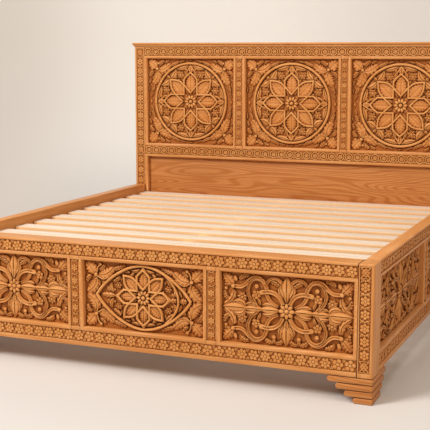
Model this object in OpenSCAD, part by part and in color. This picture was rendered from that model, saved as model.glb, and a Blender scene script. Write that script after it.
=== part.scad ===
// Carved oak bed frame with a tall headboard, a low footboard and two side frames.
// Every frame is joined work: rails and muntins are tenoned together, carved panels sit
// in grooves, and mitred mouldings line each opening. Softwood slats lie on side ledges
// and on a centre beam. Lengths are in millimetres. The bed stands on z = 0, its length
// runs along y with the head at +y, and the origin is below the middle of the bed.

/* [Mattress] */
// Width of the mattress that the frame holds
mattress_w = 2000; // [1800:10:2100]
// Length of the mattress
mattress_l = 2000; // [1900:10:2100]
// Free space beside the mattress, on each side
side_gap = 13; // [6:1:30]
// Free space beyond each end of the mattress
end_gap = 10; // [5:1:30]

/* [Heights] */
// Height of the stepped feet
foot_h = 116; // [100:1:150]
// Height of the top of the footboard and the side frames above the floor
frame_top = 606; // [560:1:660]
// Height of the headboard, cap included
head_top = 1536; // [1450:1:1650]
// Depth of the slat tops below the top of the side frames
slat_drop = 48; // [44:1:56]

/* [Posts and rails] */
// Width of a corner post, seen from the front
post_w = 70; // [62:1:84]
// Thickness of the footboard, front to back
footboard_t = 100; // [84:1:120]
// Thickness of the headboard, front to back
headboard_t = 70; // [64:1:90]
// Thickness of a side frame
side_t = 62; // [58:1:74]
// How far a side frame stands back from the outer faces of the posts
side_inset = 5; // [2:1:10]
// Height of the plain edge along the top of the low frames
fascia_h = 10; // [8:1:16]
// Height of the carved flower bands
band_h = 53; // [46:1:60]
// Height of the plain edge along the bottom of the low frames
fillet_h = 20; // [14:1:26]
// Height of the plain edge above the headboard's top band
head_fillet_h = 7; // [5:1:12]
// Depth to which the bands are sunk below the plain edges
band_sink = 7; // [4:1:8]
// Width of a muntin, the upright bar between two panels
muntin_w = 47; // [40:1:56]
// Thickness of a muntin
muntin_t = 60; // [57:1:62]
// Width of the upright stiles at the ends of a side frame
stile_w = 30; // [26:1:40]
// Plain margin beside a post's carved band, towards the panels
post_margin_in = 7; // [5:1:10]
// Plain margin beside a post's carved band, towards the corner
post_margin_out = 14; // [11:1:17]
// Radius of the posts' outer corner edge
corner_r = 8; // [4:1:10]
// Radius of the other softened edges
edge_r = 4; // [2:0.5:5]

/* [Headboard] */
// Height of the carved headboard panels, inside their mouldings
head_panel_h = 553; // [500:1:600]
// Height of the headboard's hidden bottom rail
head_bottom_rail_h = 100; // [80:1:120]
// Thickness of the cap board
cap_t = 14; // [10:1:20]
// How far the cap board stands out over the posts
cap_over = 13; // [9:1:18]
// Height of the small moulding under the cap board
cap_mould_h = 10; // [7:1:14]
// How far that moulding stands out
cap_mould_over = 5; // [3:1:8]

/* [Panels and mouldings] */
// Thickness of a panel board
panel_t = 22; // [18:1:24]
// Depth of the panels' ground below the face of the frame
panel_recess = 32; // [28:1:33]
// Width of the mouldings that line the openings
moulding_w = 18; // [14:1:22]
// Width of the bevel on a moulding's inner edge
bevel_w = 6; // [4:1:8]
// Length of the panel edge that sits in the grooves
panel_tongue = 9; // [7:1:10]
// Height of carved straps above the ground
strap_h = 18; // [14:1:22]
// Height of carved leaves above the ground
leaf_h = 12; // [8:1:13]
// Width of the carved straps
strap_w = 17; // [12:1:20]

/* [Medallions] */
// Outer diameter of a headboard medallion's ring
ring_d = 500; // [440:1:530]
// Length of the pointed oval on the footboard's middle panel
oval_l = 474; // [430:1:540]
// Height of that oval
oval_h = 298; // [260:1:306]
// Radius of the star on the footboard's middle panel
oval_star_r = 146; // [120:1:146]
// Diameter of the flower at the middle of a carved panel
rosette_d = 84; // [70:1:96]

/* [Joints] */
// Clearance around a tongue, tenon or spigot
joint_gap = 0.3; // [0.2:0.05:0.5]
// Thickness of the rail and muntin tenons
tenon_t = 20; // [16:1:22]
// Length of the tenons in the posts
tenon_l = 45; // [30:1:50]
// Length of the muntin and stile tenons
muntin_tenon_l = 20; // [16:1:24]
// Shoulder above and below a tenon
shoulder = 12; // [11:1:13]
// Diameter of the spigots on top of the feet
spigot_d = 30; // [24:1:36]
// Length of those spigots
spigot_l = 40; // [30:1:50]

/* [Slats and beam] */
// Width of a slat
slat_w = 108; // [90:1:116]
// Thickness of a slat
slat_t = 20; // [16:1:24]
// Space between the footboard and the first slat
slat_foot_gap = 70; // [40:1:90]
// Number of slats
slat_count = 11; // [10:1:11]
// Space between a slat's end and the side frame
slat_end_gap = 5; // [4:1:8]
// Space between the last slat and the headboard
slat_head_gap = 2; // [1:1:6]
// Width of the ledges under the slat ends
ledge_w = 35; // [28:1:45]
// Height of those ledges
ledge_h = 45; // [35:1:55]
// Width of the centre beam
beam_w = 45; // [36:1:60]
// Height of the centre beam
beam_h = 90; // [70:1:110]
// Diameter of the centre legs
leg_d = 50; // [40:1:60]
// Number of centre legs
leg_count = 2; // [1:1:3]

/* [Feet] */
// Number of stepped layers in a foot
foot_layers = 4; // [3:1:5]
// Height of the groove above each layer
foot_groove = 4; // [3:0.5:6]
// Length of a foot's lowest layer, across the bed
foot_base_x = 85; // [75:1:100]
// Length of a foot's top layer, across the bed
foot_top_x = 200; // [170:1:240]
// Length of a foot's lowest layer, along the bed
foot_base_y = 150; // [130:1:170]
// Length of a foot's top layer, along the bed
foot_top_y = 236; // [200:1:280]

/* [Metal fittings] */
// Thickness of the steel plates
plate_t = 3; // [2.5:0.5:4]
// Width of the hook plates in the side frame ends
hook_plate_w = 22; // [18:1:26]
// Height of the hook plates
hook_plate_h = 150; // [130:1:170]
// Reach of a hook into the post
hook_reach = 12; // [9:1:14]
// Height of a hook where it passes the catch plate
hook_h = 16; // [12:1:20]
// Diameter of the slat screws' heads
screw_head_d = 9; // [8:0.5:10]
// Diameter of the slat screws' shanks
screw_d = 4.5; // [4:0.5:5]
// Length of the slat screws
screw_l = 40; // [35:1:45]

/* [Hidden] */
$fn = 48;
inner_w = mattress_w + 2 * side_gap;
inner_l = mattress_l + 2 * end_gap;
half_w = inner_w / 2 + side_t + side_inset;
total_l = footboard_t + inner_l + headboard_t;
foot_y = -total_l / 2;
inner_y0 = foot_y + footboard_t;
head_y = inner_y0 + inner_l;
back_y = head_y + headboard_t;
mid_y = (inner_y0 + head_y) / 2;
side_x = half_w - side_inset;
inner_x = inner_w / 2;
slat_top = frame_top - slat_drop;
slat_lo = slat_top - slat_t;

frame_w = 2 * (half_w - post_w);
bay_w = (frame_w - 2 * muntin_w) / 3;
muntin_x = (bay_w + muntin_w) / 2;
top_rail_lo = frame_top - fascia_h - band_h;
bottom_rail_hi = foot_h + fillet_h + band_h;
low_bay_h = top_rail_lo - bottom_rail_hi;
low_bay_y = (top_rail_lo + bottom_rail_hi) / 2;
side_bay_w = (inner_l - 2 * stile_w - muntin_w) / 2;
side_bay_x = (side_bay_w + muntin_w) / 2;

post_top = head_top - cap_t - cap_mould_h;
head_rail_lo = post_top - head_fillet_h - band_h;
head_bay_h = head_panel_h + 2 * moulding_w;
mid_rail_hi = head_rail_lo - head_bay_h;
mid_rail_lo = mid_rail_hi - band_h;
bottom_rail_drop = 8;
beam_hi = slat_lo;
beam_lo = beam_hi - beam_h;
head_bottom_hi = slat_lo - bottom_rail_drop;
head_bottom_lo = head_bottom_hi - head_bottom_rail_h;
lower_bay_h = mid_rail_lo - head_bottom_hi;

groove_t = panel_t + 2 * joint_gap;
groove_d = panel_tongue + 1;
tenon_z = panel_recess + panel_t / 2;
cut = 1;
panel_root = 0.5;
hook_nose = 8;
slot_gap = 1;
slot_lift = 8;
screw_head_h = 3;
dowel_d = 20;
dowel_l = 30;
pad_d = 1.2 * leg_d;
pad_h = 12;
pad_slope = 6;
shoe_l = 60;
shoe_lap = 40;

head_leaf = 72;
head_leaf_margin = 16;
oval_leaf = 52;
oval_tip_gap = 6;
oval_tip_w = 28;
lily_leaf = 48;
lily_margin = 10;
low_leaf_margin = 12;

slat_pitch = (inner_l - slat_foot_gap - slat_head_gap - slat_w) / (slat_count - 1);
last_slat_y = head_y - slat_head_gap - slat_w / 2;
slat_l = inner_w - 2 * slat_end_gap;
screw_x = inner_x - ledge_w / 2;

oak = "#c9854b";
oak_dark = "#b06f3a";
pine = "#f0dcc0";
steel = "#8d9196";

// Frames are drawn flat, x to the right and y up with the face at z = 0, and stood up here
module stand_foot() translate([0, foot_y, 0]) rotate([90, 0, 0]) children();
module stand_head() translate([0, head_y, 0]) rotate([90, 0, 0]) children();
module stand_right() translate([side_x, mid_y, 0]) rotate([90, 0, 90]) children();
module stand_left() mirror([1, 0, 0]) stand_right() children();

// Block between two x, two y and two depths below the face
module bar(x0, x1, y0, y1, d0, d1) {
  translate([x0, y0, -d1]) cube([x1 - x0, y1 - y0, d1 - d0]);
}

// Cutter that sinks a band into the face
module sink(x0, x1, y0, y1) bar(x0, x1, y0, y1, -cut, band_sink);

// Cutter that rounds an edge along x; its solid corner lies towards +y and +z
module edge_cutter(x0, x1, r) {
  translate([x0, -r, -r]) rotate([90, 0, 90]) linear_extrude(x1 - x0) difference() {
    square(r + cut);
    circle(r);
  }
}

// Tongue of a rail that lies along x, from a shoulder at x0 to its end at x1
module rail_tenon(x0, x1, y0, y1, extra = 0) {
  d0 = tenon_z - tenon_t / 2 - extra;
  bar(x0, x1, y0 + shoulder - extra, y1 - shoulder + extra, d0, d0 + tenon_t + 2 * extra);
}

// Tongue at the end of an upright, across the width w about x
module muntin_tenon(x, w, y0, y1, extra = 0) {
  d0 = tenon_z - tenon_t / 2 - extra;
  half = w / 2 - shoulder + extra;
  bar(x - half, x + half, y0, y1, d0, d0 + tenon_t + 2 * extra);
}

// Groove for a panel edge
module groove(x0, x1, y0, y1) {
  d0 = panel_recess - joint_gap;
  bar(x0, x1, y0, y1, d0, d0 + groove_t);
}

// Leaf with two pointed ends that lies along x from the origin
module leaf(len, w) {
  r = (len * len + w * w) / (4 * w);
  intersection() {
    translate([len / 2, r - w / 2]) circle(r);
    translate([len / 2, w / 2 - r]) circle(r);
  }
}

// The strap that runs round such a leaf, s wide
module leaf_loop(len, w, s) {
  r = (len * len + w * w) / (4 * w);
  difference() {
    leaf(len, w);
    intersection() {
      translate([len / 2, r - w / 2]) circle(r - s);
      translate([len / 2, w / 2 - r]) circle(r - s);
    }
  }
}

module spokes(n, first = 0) for (i = [0 : n - 1]) rotate(first + 360 * i / n) children();

module corners(w, h) {
  for (sx = [-1, 1], sy = [-1, 1]) translate([sx * w / 2, sy * h / 2])
    mirror([sx < 0 ? 1 : 0, 0]) mirror([0, sy < 0 ? 1 : 0]) children();
}

module rosette_shape(d) {
  circle(d * 0.3);
  spokes(8) translate([d * 0.32, 0]) circle(d * 0.17);
}

module rosette(d) {
  linear_extrude(strap_h * 0.7) rosette_shape(d);
  linear_extrude(strap_h) circle(d * 0.15);
}

// Eight-petalled star of radius r with a leaf in each petal
module star(r) {
  linear_extrude(strap_h * 0.85)
    spokes(8) translate([r * 0.2, 0]) leaf_loop(r * 0.8, r * 0.42, strap_w * 0.6);
  linear_extrude(leaf_h) spokes(8) translate([r * 0.42, 0]) leaf(r * 0.44, r * 0.2);
}

// Leaf that points into a corner at the origin, with one leaf along each side of it
module corner_leaves(size) {
  rotate(45) translate([-size * 1.05, 0]) leaf(size * 0.95, size * 0.5);
  translate([-size * 1.7, -size * 0.32]) leaf(size * 1.0, size * 0.42);
  translate([-size * 0.32, -size * 1.7]) rotate(90) leaf(size * 1.0, size * 0.42);
}

// Headboard carving: a ring round the star, leaves between them, leaves in the corners
module medallion(w, h) {
  r = ring_d / 2;
  inner = r - strap_w;
  star_r = inner * 0.8;
  root = star_r * 0.78;
  tip = inner + strap_w / 4;
  linear_extrude(strap_h) difference() {
    circle(r);
    circle(inner);
  }
  star(star_r);
  rosette(rosette_d);
  linear_extrude(leaf_h) {
    spokes(8, 22.5) translate([root, 0]) leaf(tip - root, star_r * 0.26);
    spokes(8) translate([star_r * 0.98, 0]) leaf(tip - star_r * 0.98, star_r * 0.16);
    corners(w - head_leaf_margin, h - head_leaf_margin) corner_leaves(head_leaf);
  }
}

// Footboard carving, middle panel: the same star inside a pointed oval
module oval_carving(w, h) {
  linear_extrude(strap_h) translate([-oval_l / 2, 0]) leaf_loop(oval_l, oval_h, strap_w * 0.8);
  star(oval_star_r - strap_w * 0.8);
  rosette(rosette_d * 0.75);
  linear_extrude(leaf_h) {
    corners(w - low_leaf_margin, h - low_leaf_margin) corner_leaves(oval_leaf);
    for (side = [0, 180]) rotate(side)
      translate([oval_star_r + oval_tip_gap, 0])
        leaf(oval_l / 2 - oval_star_r - strap_w - 2 * oval_tip_gap, oval_tip_w);
  }
}

// Carving of the other low panels: a flower with crossed leaves, loops and scrolls
module lily_carving(w, h) {
  reach = h / 2 - lily_margin;
  loop = reach * 0.86;
  step = (w / 2 - low_leaf_margin - rosette_d / 2) / 3;
  rosette(rosette_d);
  linear_extrude(strap_h) {
    for (a = [34, 146, 214, 326]) rotate(a)
      translate([rosette_d * 0.36, 0]) leaf_loop(loop, loop * 0.44, strap_w * 0.7);
    for (sx = [-1, 1], sy = [-1, 1]) translate([sx * (rosette_d / 2 + step * 1.35), sy * reach * 0.48])
      difference() {
        circle(reach * 0.5);
        circle(reach * 0.5 - strap_w * 0.7);
      }
  }
  linear_extrude(leaf_h) {
    for (a = [90, 270]) rotate(a)
      translate([rosette_d * 0.4, 0]) leaf(reach - rosette_d * 0.4, reach * 0.36);
    for (side = [0, 180], i = [0 : 2]) rotate(side)
      translate([rosette_d * 0.4 + i * step, 0]) leaf(step * 1.06, reach * 0.3);
    corners(w - low_leaf_margin, h - low_leaf_margin) corner_leaves(lily_leaf);
  }
}

// Panel board for an opening of w by h between the frame members
module panel(w, h) {
  tw = w / 2 + panel_tongue;
  th = h / 2 + panel_tongue;
  bar(-tw, tw, -th, th, panel_recess, panel_recess + panel_t);
}

// The same board with the carving that stands on its ground
module carved_panel(w, h) {
  panel(w, h);
  translate([0, 0, -panel_recess - panel_root]) children();
}

// One mitred strip along the lower edge of an opening that is len wide
module moulding_strip(len) {
  depth = panel_recess - joint_gap;
  intersection() {
    translate([-len / 2, 0, 0]) rotate([90, 0, 90]) linear_extrude(len)
      polygon([[0, 0], [0, -depth], [moulding_w, -depth], [moulding_w, -bevel_w],
        [moulding_w - bevel_w, 0]]);
    translate([0, 0, -depth - cut]) linear_extrude(depth + 2 * cut)
      polygon([[-len / 2, 0], [len / 2, 0], [len / 2 - moulding_w, moulding_w],
        [moulding_w - len / 2, moulding_w]]);
  }
}

module moulding_frame(w, h) {
  for (end = [0, 180]) rotate(end) translate([0, -h / 2, 0]) moulding_strip(w);
  for (end = [90, 270]) rotate(end) translate([0, -w / 2, 0]) moulding_strip(h);
}

// Upper rail of a low frame: plain edge on top, sunk flower band below it
module low_top_rail(len, t, end_tenon, muntins) {
  difference() {
    union() {
      bar(-len / 2, len / 2, top_rail_lo, frame_top, 0, t);
      for (s = [-1, 1]) mirror([s < 0 ? 1 : 0, 0, 0])
        rail_tenon(len / 2, len / 2 + end_tenon, top_rail_lo, frame_top);
    }
    sink(-len / 2 - cut, len / 2 + cut, top_rail_lo - cut, frame_top - fascia_h);
    translate([0, frame_top, 0]) edge_cutter(-len / 2 - cut, len / 2 + cut, edge_r);
    groove(-len / 2, len / 2, top_rail_lo - cut, top_rail_lo + groove_d);
    for (x = muntins)
      muntin_tenon(x, muntin_w, top_rail_lo - cut, top_rail_lo + muntin_tenon_l + cut, joint_gap);
  }
}

// Lower rail of a low frame: sunk flower band over a plain edge
module low_bottom_rail(len, t, end_tenon, muntins) {
  difference() {
    union() {
      bar(-len / 2, len / 2, foot_h, bottom_rail_hi, 0, t);
      for (s = [-1, 1]) mirror([s < 0 ? 1 : 0, 0, 0])
        rail_tenon(len / 2, len / 2 + end_tenon, foot_h, bottom_rail_hi);
    }
    sink(-len / 2 - cut, len / 2 + cut, foot_h + fillet_h, bottom_rail_hi + cut);
    groove(-len / 2, len / 2, bottom_rail_hi - groove_d, bottom_rail_hi + cut);
    for (x = muntins)
      muntin_tenon(x, muntin_w, bottom_rail_hi - muntin_tenon_l - cut, bottom_rail_hi + cut, joint_gap);
  }
}

// Upright bar between two panels, its face sunk between the mitres of the mouldings
module muntin(y0, y1) {
  difference() {
    union() {
      bar(-muntin_w / 2, muntin_w / 2, y0, y1, 0, muntin_t);
      muntin_tenon(0, muntin_w, y0 - muntin_tenon_l, y1 + muntin_tenon_l);
    }
    sink(-muntin_w / 2 - cut, muntin_w / 2 + cut, y0 + moulding_w, y1 - moulding_w);
    for (s = [-1, 1]) mirror([s < 0 ? 1 : 0, 0, 0])
      groove(muntin_w / 2 - groove_d, muntin_w / 2 + cut, y0, y1);
  }
}

// Body of a post drawn for the right-hand corner, with its face at z = 0
module post_body(t, y1) {
  x0 = half_w - post_w;
  difference() {
    bar(x0, half_w, foot_h, y1, 0, t);
    translate([half_w, y1 + cut, 0]) rotate([0, 0, -90])
      edge_cutter(0, y1 - foot_h + 2 * cut, corner_r);
    sink(x0 + post_margin_in, half_w - post_margin_out, foot_h + fillet_h, y1 - fascia_h);
    translate([half_w - spigot_d, 0, -t / 2]) rotate([-90, 0, 0])
      translate([0, 0, foot_h - cut]) cylinder(h = spigot_l + 2 * cut, d = spigot_d + 2 * joint_gap);
  }
}

// Slots in a post for the hooks of one side frame, and the seat of their catch plate
module catch_cuts(face_y) {
  for (s = [-1, 1]) translate([side_x - side_t / 2, face_y, low_bay_y + s * hook_plate_h / 4])
    cube([plate_t + 2 * slot_gap, 2 * (hook_reach + 2 * slot_gap), hook_h + 2 * hook_nose + slot_lift],
      center = true);
  translate([side_x - side_t / 2, face_y, low_bay_y])
    cube([hook_plate_w + 2 * joint_gap, 2 * plate_t, hook_plate_h + 2 * joint_gap], center = true);
}

module footboard_post() color(oak) {
  difference() {
    stand_foot() difference() {
      post_body(footboard_t, frame_top);
      translate([0, frame_top, 0]) edge_cutter(half_w - post_w - cut, half_w + cut, edge_r);
      rail_tenon(half_w - post_w - cut, half_w - post_w + tenon_l + cut, top_rail_lo, frame_top, joint_gap);
      rail_tenon(half_w - post_w - cut, half_w - post_w + tenon_l + cut, foot_h, bottom_rail_hi, joint_gap);
      groove(half_w - post_w - cut, half_w - post_w + groove_d, bottom_rail_hi - groove_d,
        top_rail_lo + groove_d);
    }
    catch_cuts(inner_y0);
  }
}

module headboard_post() color(oak) {
  x0 = half_w - post_w;
  difference() {
    stand_head() difference() {
      post_body(headboard_t, post_top);
      rail_tenon(x0 - cut, x0 + tenon_l + cut, head_rail_lo, post_top, joint_gap);
      rail_tenon(x0 - cut, x0 + tenon_l + cut, mid_rail_lo, mid_rail_hi, joint_gap);
      rail_tenon(x0 - cut, x0 + tenon_l + cut, head_bottom_lo, head_bottom_hi, joint_gap);
      groove(x0 - cut, x0 + groove_d, mid_rail_hi - groove_d, head_rail_lo + groove_d);
      groove(x0 - cut, x0 + groove_d, head_bottom_hi - groove_d, mid_rail_lo + groove_d);
    }
    catch_cuts(head_y);
  }
}

// Headboard rail between y0 and y1, with its band sunk from b0 to b1
module head_rail(y0, y1, b0, b1) {
  difference() {
    union() {
      bar(-frame_w / 2, frame_w / 2, y0, y1, 0, headboard_t);
      for (s = [-1, 1]) mirror([s < 0 ? 1 : 0, 0, 0])
        rail_tenon(frame_w / 2, frame_w / 2 + tenon_l, y0, y1);
    }
    if (b1 > b0) sink(-frame_w / 2 - cut, frame_w / 2 + cut, b0, b1);
    children();
  }
}

module headboard_top_rail() color(oak) stand_head()
  head_rail(head_rail_lo, post_top, head_rail_lo - cut, post_top - head_fillet_h) {
    groove(-frame_w / 2, frame_w / 2, head_rail_lo - cut, head_rail_lo + groove_d);
    for (x = [-muntin_x, muntin_x])
      muntin_tenon(x, muntin_w, head_rail_lo - cut, head_rail_lo + muntin_tenon_l + cut, joint_gap);
  }

module headboard_middle_rail() color(oak) stand_head()
  head_rail(mid_rail_lo, mid_rail_hi, mid_rail_lo - cut, mid_rail_hi + cut) {
    groove(-frame_w / 2, frame_w / 2, mid_rail_hi - groove_d, mid_rail_hi + cut);
    groove(-frame_w / 2, frame_w / 2, mid_rail_lo - cut, mid_rail_lo + groove_d);
    for (x = [-muntin_x, muntin_x])
      muntin_tenon(x, muntin_w, mid_rail_hi - muntin_tenon_l - cut, mid_rail_hi + cut, joint_gap);
  }

module headboard_bottom_rail() color(oak_dark) stand_head()
  head_rail(head_bottom_lo, head_bottom_hi, 0, 0)
    groove(-frame_w / 2, frame_w / 2, head_bottom_hi - groove_d, head_bottom_hi + cut);

// Cap board with round front and ends over a small moulding; its back stays flush
module headboard_cap() color(oak) {
  cap_w = 2 * (half_w + cap_over);
  cap_l = headboard_t + cap_over;
  translate([0, back_y, head_top - cap_t]) intersection() {
    rotate([90, 0, -90]) linear_extrude(cap_w, center = true) layer_section(cap_l, cap_t);
    rotate([90, 0, 0]) linear_extrude(cap_l) for (end = [0, 1]) mirror([end, 0])
      layer_section(cap_w / 2, cap_t);
  }
  translate([-half_w - cap_mould_over, head_y - cap_mould_over, post_top])
    cube([2 * (half_w + cap_mould_over), headboard_t + cap_mould_over, cap_mould_h + cut]);
}

module headboard_muntin(x) color(oak) stand_head()
  translate([x, 0, 0]) muntin(mid_rail_hi, head_rail_lo);

module headboard_panel(i) color(oak_dark) stand_head()
  translate([i * 2 * muntin_x, (mid_rail_hi + head_rail_lo) / 2, 0])
    carved_panel(bay_w, head_bay_h) medallion(bay_w - 2 * moulding_w, head_panel_h);

module headboard_lower_board() color(oak) stand_head()
  translate([0, (head_bottom_hi + mid_rail_lo) / 2, 0]) panel(frame_w, lower_bay_h);

module headboard_mouldings() color(oak) stand_head() {
  for (i = [-1 : 1]) translate([i * 2 * muntin_x, (mid_rail_hi + head_rail_lo) / 2, 0])
    moulding_frame(bay_w, head_bay_h);
  translate([0, (head_bottom_hi + mid_rail_lo) / 2, 0]) moulding_frame(frame_w, lower_bay_h);
}

module footboard_top_rail() color(oak) stand_foot()
  low_top_rail(frame_w, footboard_t, tenon_l, [-muntin_x, muntin_x]);

module footboard_bottom_rail() color(oak) stand_foot()
  low_bottom_rail(frame_w, footboard_t, tenon_l, [-muntin_x, muntin_x]);

module footboard_muntin(x) color(oak) stand_foot()
  translate([x, 0, 0]) muntin(bottom_rail_hi, top_rail_lo);

module footboard_panel(i) color(oak_dark) stand_foot()
  translate([i * 2 * muntin_x, low_bay_y, 0]) carved_panel(bay_w, low_bay_h) {
    if (i == 0) oval_carving(bay_w - 2 * moulding_w, low_bay_h - 2 * moulding_w);
    else lily_carving(bay_w - 2 * moulding_w, low_bay_h - 2 * moulding_w);
  }

module footboard_mouldings() color(oak) stand_foot()
  for (i = [-1 : 1]) translate([i * 2 * muntin_x, low_bay_y, 0]) moulding_frame(bay_w, low_bay_h);

// Members of one side frame, drawn flat; its face looks outwards
module side_top_rail() low_top_rail(inner_l - 2 * stile_w, side_t, muntin_tenon_l, [0]);
module side_bottom_rail() low_bottom_rail(inner_l - 2 * stile_w, side_t, muntin_tenon_l, [0]);

module side_stile(end) {
  x0 = inner_l / 2 - stile_w;
  mirror([end < 0 ? 1 : 0, 0, 0]) difference() {
    bar(x0, inner_l / 2, foot_h, frame_top, 0, side_t);
    rail_tenon(x0 - cut, x0 + muntin_tenon_l + cut, top_rail_lo, frame_top, joint_gap);
    rail_tenon(x0 - cut, x0 + muntin_tenon_l + cut, foot_h, bottom_rail_hi, joint_gap);
    groove(x0 - cut, x0 + groove_d, bottom_rail_hi - groove_d, top_rail_lo + groove_d);
    translate([0, frame_top, 0]) edge_cutter(x0 - cut, inner_l / 2 + cut, edge_r);
    translate([inner_l / 2, low_bay_y, -side_t / 2])
      cube([2 * plate_t, hook_plate_h + 2 * joint_gap, hook_plate_w + 2 * joint_gap], center = true);
  }
}

module side_panel(end) translate([end * side_bay_x, low_bay_y, 0])
  carved_panel(side_bay_w, low_bay_h)
    lily_carving(side_bay_w - 2 * moulding_w, low_bay_h - 2 * moulding_w);

// Ledge on the inner face of a side frame, drilled for the slat screws
module side_ledge() difference() {
  bar(-inner_l / 2 + stile_w / 2, inner_l / 2 - stile_w / 2, slat_lo - ledge_h, slat_lo, side_t,
    side_t + ledge_w);
  for (i = [1 : slat_count])
    translate([last_slat_y - (slat_count - i) * slat_pitch - mid_y, slat_lo + cut, screw_x - side_x])
      rotate([90, 0, 0]) cylinder(h = screw_l - slat_t + 2 * cut, d = screw_d + 2 * joint_gap);
}

module side_mouldings() color(oak) {
  for (end = [-1, 1]) {
    stand_right() translate([end * side_bay_x, low_bay_y, 0]) moulding_frame(side_bay_w, low_bay_h);
    stand_left() translate([end * side_bay_x, low_bay_y, 0]) moulding_frame(side_bay_w, low_bay_h);
  }
}

// Section of one foot layer: square at the outside, full round at the inner end
module layer_section(len, t) {
  square([len - t / 2, t]);
  translate([len - t / 2, t / 2]) circle(t / 2);
}

// Foot drawn with its outer corner at the origin, reaching along +x and +y
module foot() {
  pitch = foot_h / foot_layers;
  t = pitch - foot_groove;
  steps = foot_layers - 1;
  for (i = [0 : steps]) {
    lx = foot_base_x + (foot_top_x - foot_base_x) * i / steps;
    ly = foot_base_y + (foot_top_y - foot_base_y) * i / steps;
    translate([0, 0, i * pitch]) intersection() {
      translate([0, ly, 0]) rotate([90, 0, 0]) linear_extrude(ly) layer_section(lx, t);
      rotate([90, 0, 90]) linear_extrude(lx) layer_section(ly, t);
    }
    translate([foot_groove, foot_groove, i * pitch + t / 2])
      cube([lx - t / 2 - foot_groove, ly - t / 2 - foot_groove, i < steps ? pitch : pitch - t / 2]);
  }
}

module placed_foot(sx, sy) color(oak)
  mirror([sx > 0 ? 1 : 0, 0, 0]) mirror([0, sy > 0 ? 1 : 0, 0])
    translate([-half_w, -total_l / 2, 0]) {
      foot();
      translate([spigot_d, (sy < 0 ? footboard_t : headboard_t) / 2, foot_h - cut])
        cylinder(h = spigot_l + cut, d = spigot_d);
    }

module slat(i) color(pine)
  translate([0, last_slat_y - (slat_count - i) * slat_pitch, slat_lo]) difference() {
    translate([-slat_l / 2, -slat_w / 2, 0]) cube([slat_l, slat_w, slat_t]);
    for (s = [-1, 1]) translate([s * screw_x, 0, 0]) {
      translate([0, 0, -cut]) cylinder(h = slat_t, d = screw_d + 2 * joint_gap);
      translate([0, 0, slat_t - screw_head_h - joint_gap])
        cylinder(h = screw_head_h + cut, d = screw_head_d + 2 * joint_gap);
    }
  }

// Screws that hold the slat ends to the ledges, heads just below the slat tops
module slat_screws() color(steel)
  for (s = [-1, 1], i = [1 : slat_count])
    translate([s * screw_x, last_slat_y - (slat_count - i) * slat_pitch, slat_top - joint_gap / 2]) {
      translate([0, 0, -screw_head_h]) cylinder(h = screw_head_h, d = screw_head_d);
      translate([0, 0, -screw_l]) cylinder(h = screw_l - cut, d = screw_d);
    }

module centre_beam() color(pine) difference() {
  translate([-beam_w / 2, inner_y0 + plate_t + joint_gap, beam_lo])
    cube([beam_w, inner_l - 2 * (plate_t + joint_gap), beam_h]);
  for (i = [1 : leg_count]) translate([0, inner_y0 + inner_l * i / (leg_count + 1), beam_lo - cut])
    cylinder(h = dowel_l + cut + joint_gap, d = dowel_d + 2 * joint_gap);
}

// Round legs under the beam, each with a wider pad on the floor and a dowel on top
module centre_legs() color(oak_dark)
  for (i = [1 : leg_count]) translate([0, inner_y0 + inner_l * i / (leg_count + 1), 0])
    rotate_extrude() polygon([[0, 0], [pad_d / 2, 0], [pad_d / 2, pad_h], [leg_d / 2, pad_h + pad_slope],
      [leg_d / 2, beam_lo], [dowel_d / 2, beam_lo], [dowel_d / 2, beam_lo + dowel_l],
      [0, beam_lo + dowel_l]]);

// Steel shoe that carries one end of the beam, its back plate at y = 0
module beam_shoe(z1) {
  w = beam_w + 2 * (plate_t + joint_gap);
  z0 = beam_lo - joint_gap - plate_t;
  translate([-w / 2, 0, z0]) cube([w, plate_t, z1 - z0]);
  translate([-w / 2, 0, z0]) cube([w, shoe_l, plate_t]);
  for (s = [-1, 1]) translate([s * (w - plate_t) / 2 - plate_t / 2, 0, z0])
    cube([plate_t, shoe_l, beam_h / 2]);
}

module beam_brackets() color(steel) {
  translate([0, inner_y0, 0]) beam_shoe(top_rail_lo + shoe_lap);
  translate([0, head_y, 0]) mirror([0, 1, 0]) beam_shoe(head_bottom_hi - cut);
}

// One hook plate with its catch plate; the side frame lies at +y and the post at -y
module fitting() {
  translate([-hook_plate_w / 2, 0, -hook_plate_h / 2]) cube([hook_plate_w, plate_t, hook_plate_h]);
  for (s = [-1, 1]) translate([-plate_t / 2, -hook_reach, s * hook_plate_h / 4 - hook_h / 2]) {
    cube([plate_t, hook_reach + plate_t / 2, hook_h]);
    translate([0, 0, -hook_nose])
      cube([plate_t, hook_reach - plate_t - joint_gap, hook_nose + hook_h / 2]);
  }
  difference() {
    translate([-hook_plate_w / 2, -plate_t, -hook_plate_h / 2])
      cube([hook_plate_w, plate_t - joint_gap, hook_plate_h]);
    for (s = [-1, 1])
      translate([-plate_t / 2 - joint_gap, -plate_t - cut, s * hook_plate_h / 4 - hook_h / 2 - joint_gap])
        cube([plate_t + 2 * joint_gap, plate_t + 2 * cut, hook_h + hook_nose + 2 * slot_gap + joint_gap]);
  }
}

module corner_fittings() color(steel)
  for (side = [0, 1]) mirror([side, 0, 0]) {
    translate([side_x - side_t / 2, inner_y0, low_bay_y]) fitting();
    translate([side_x - side_t / 2, head_y, low_bay_y]) mirror([0, 1, 0]) fitting();
  }

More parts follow.
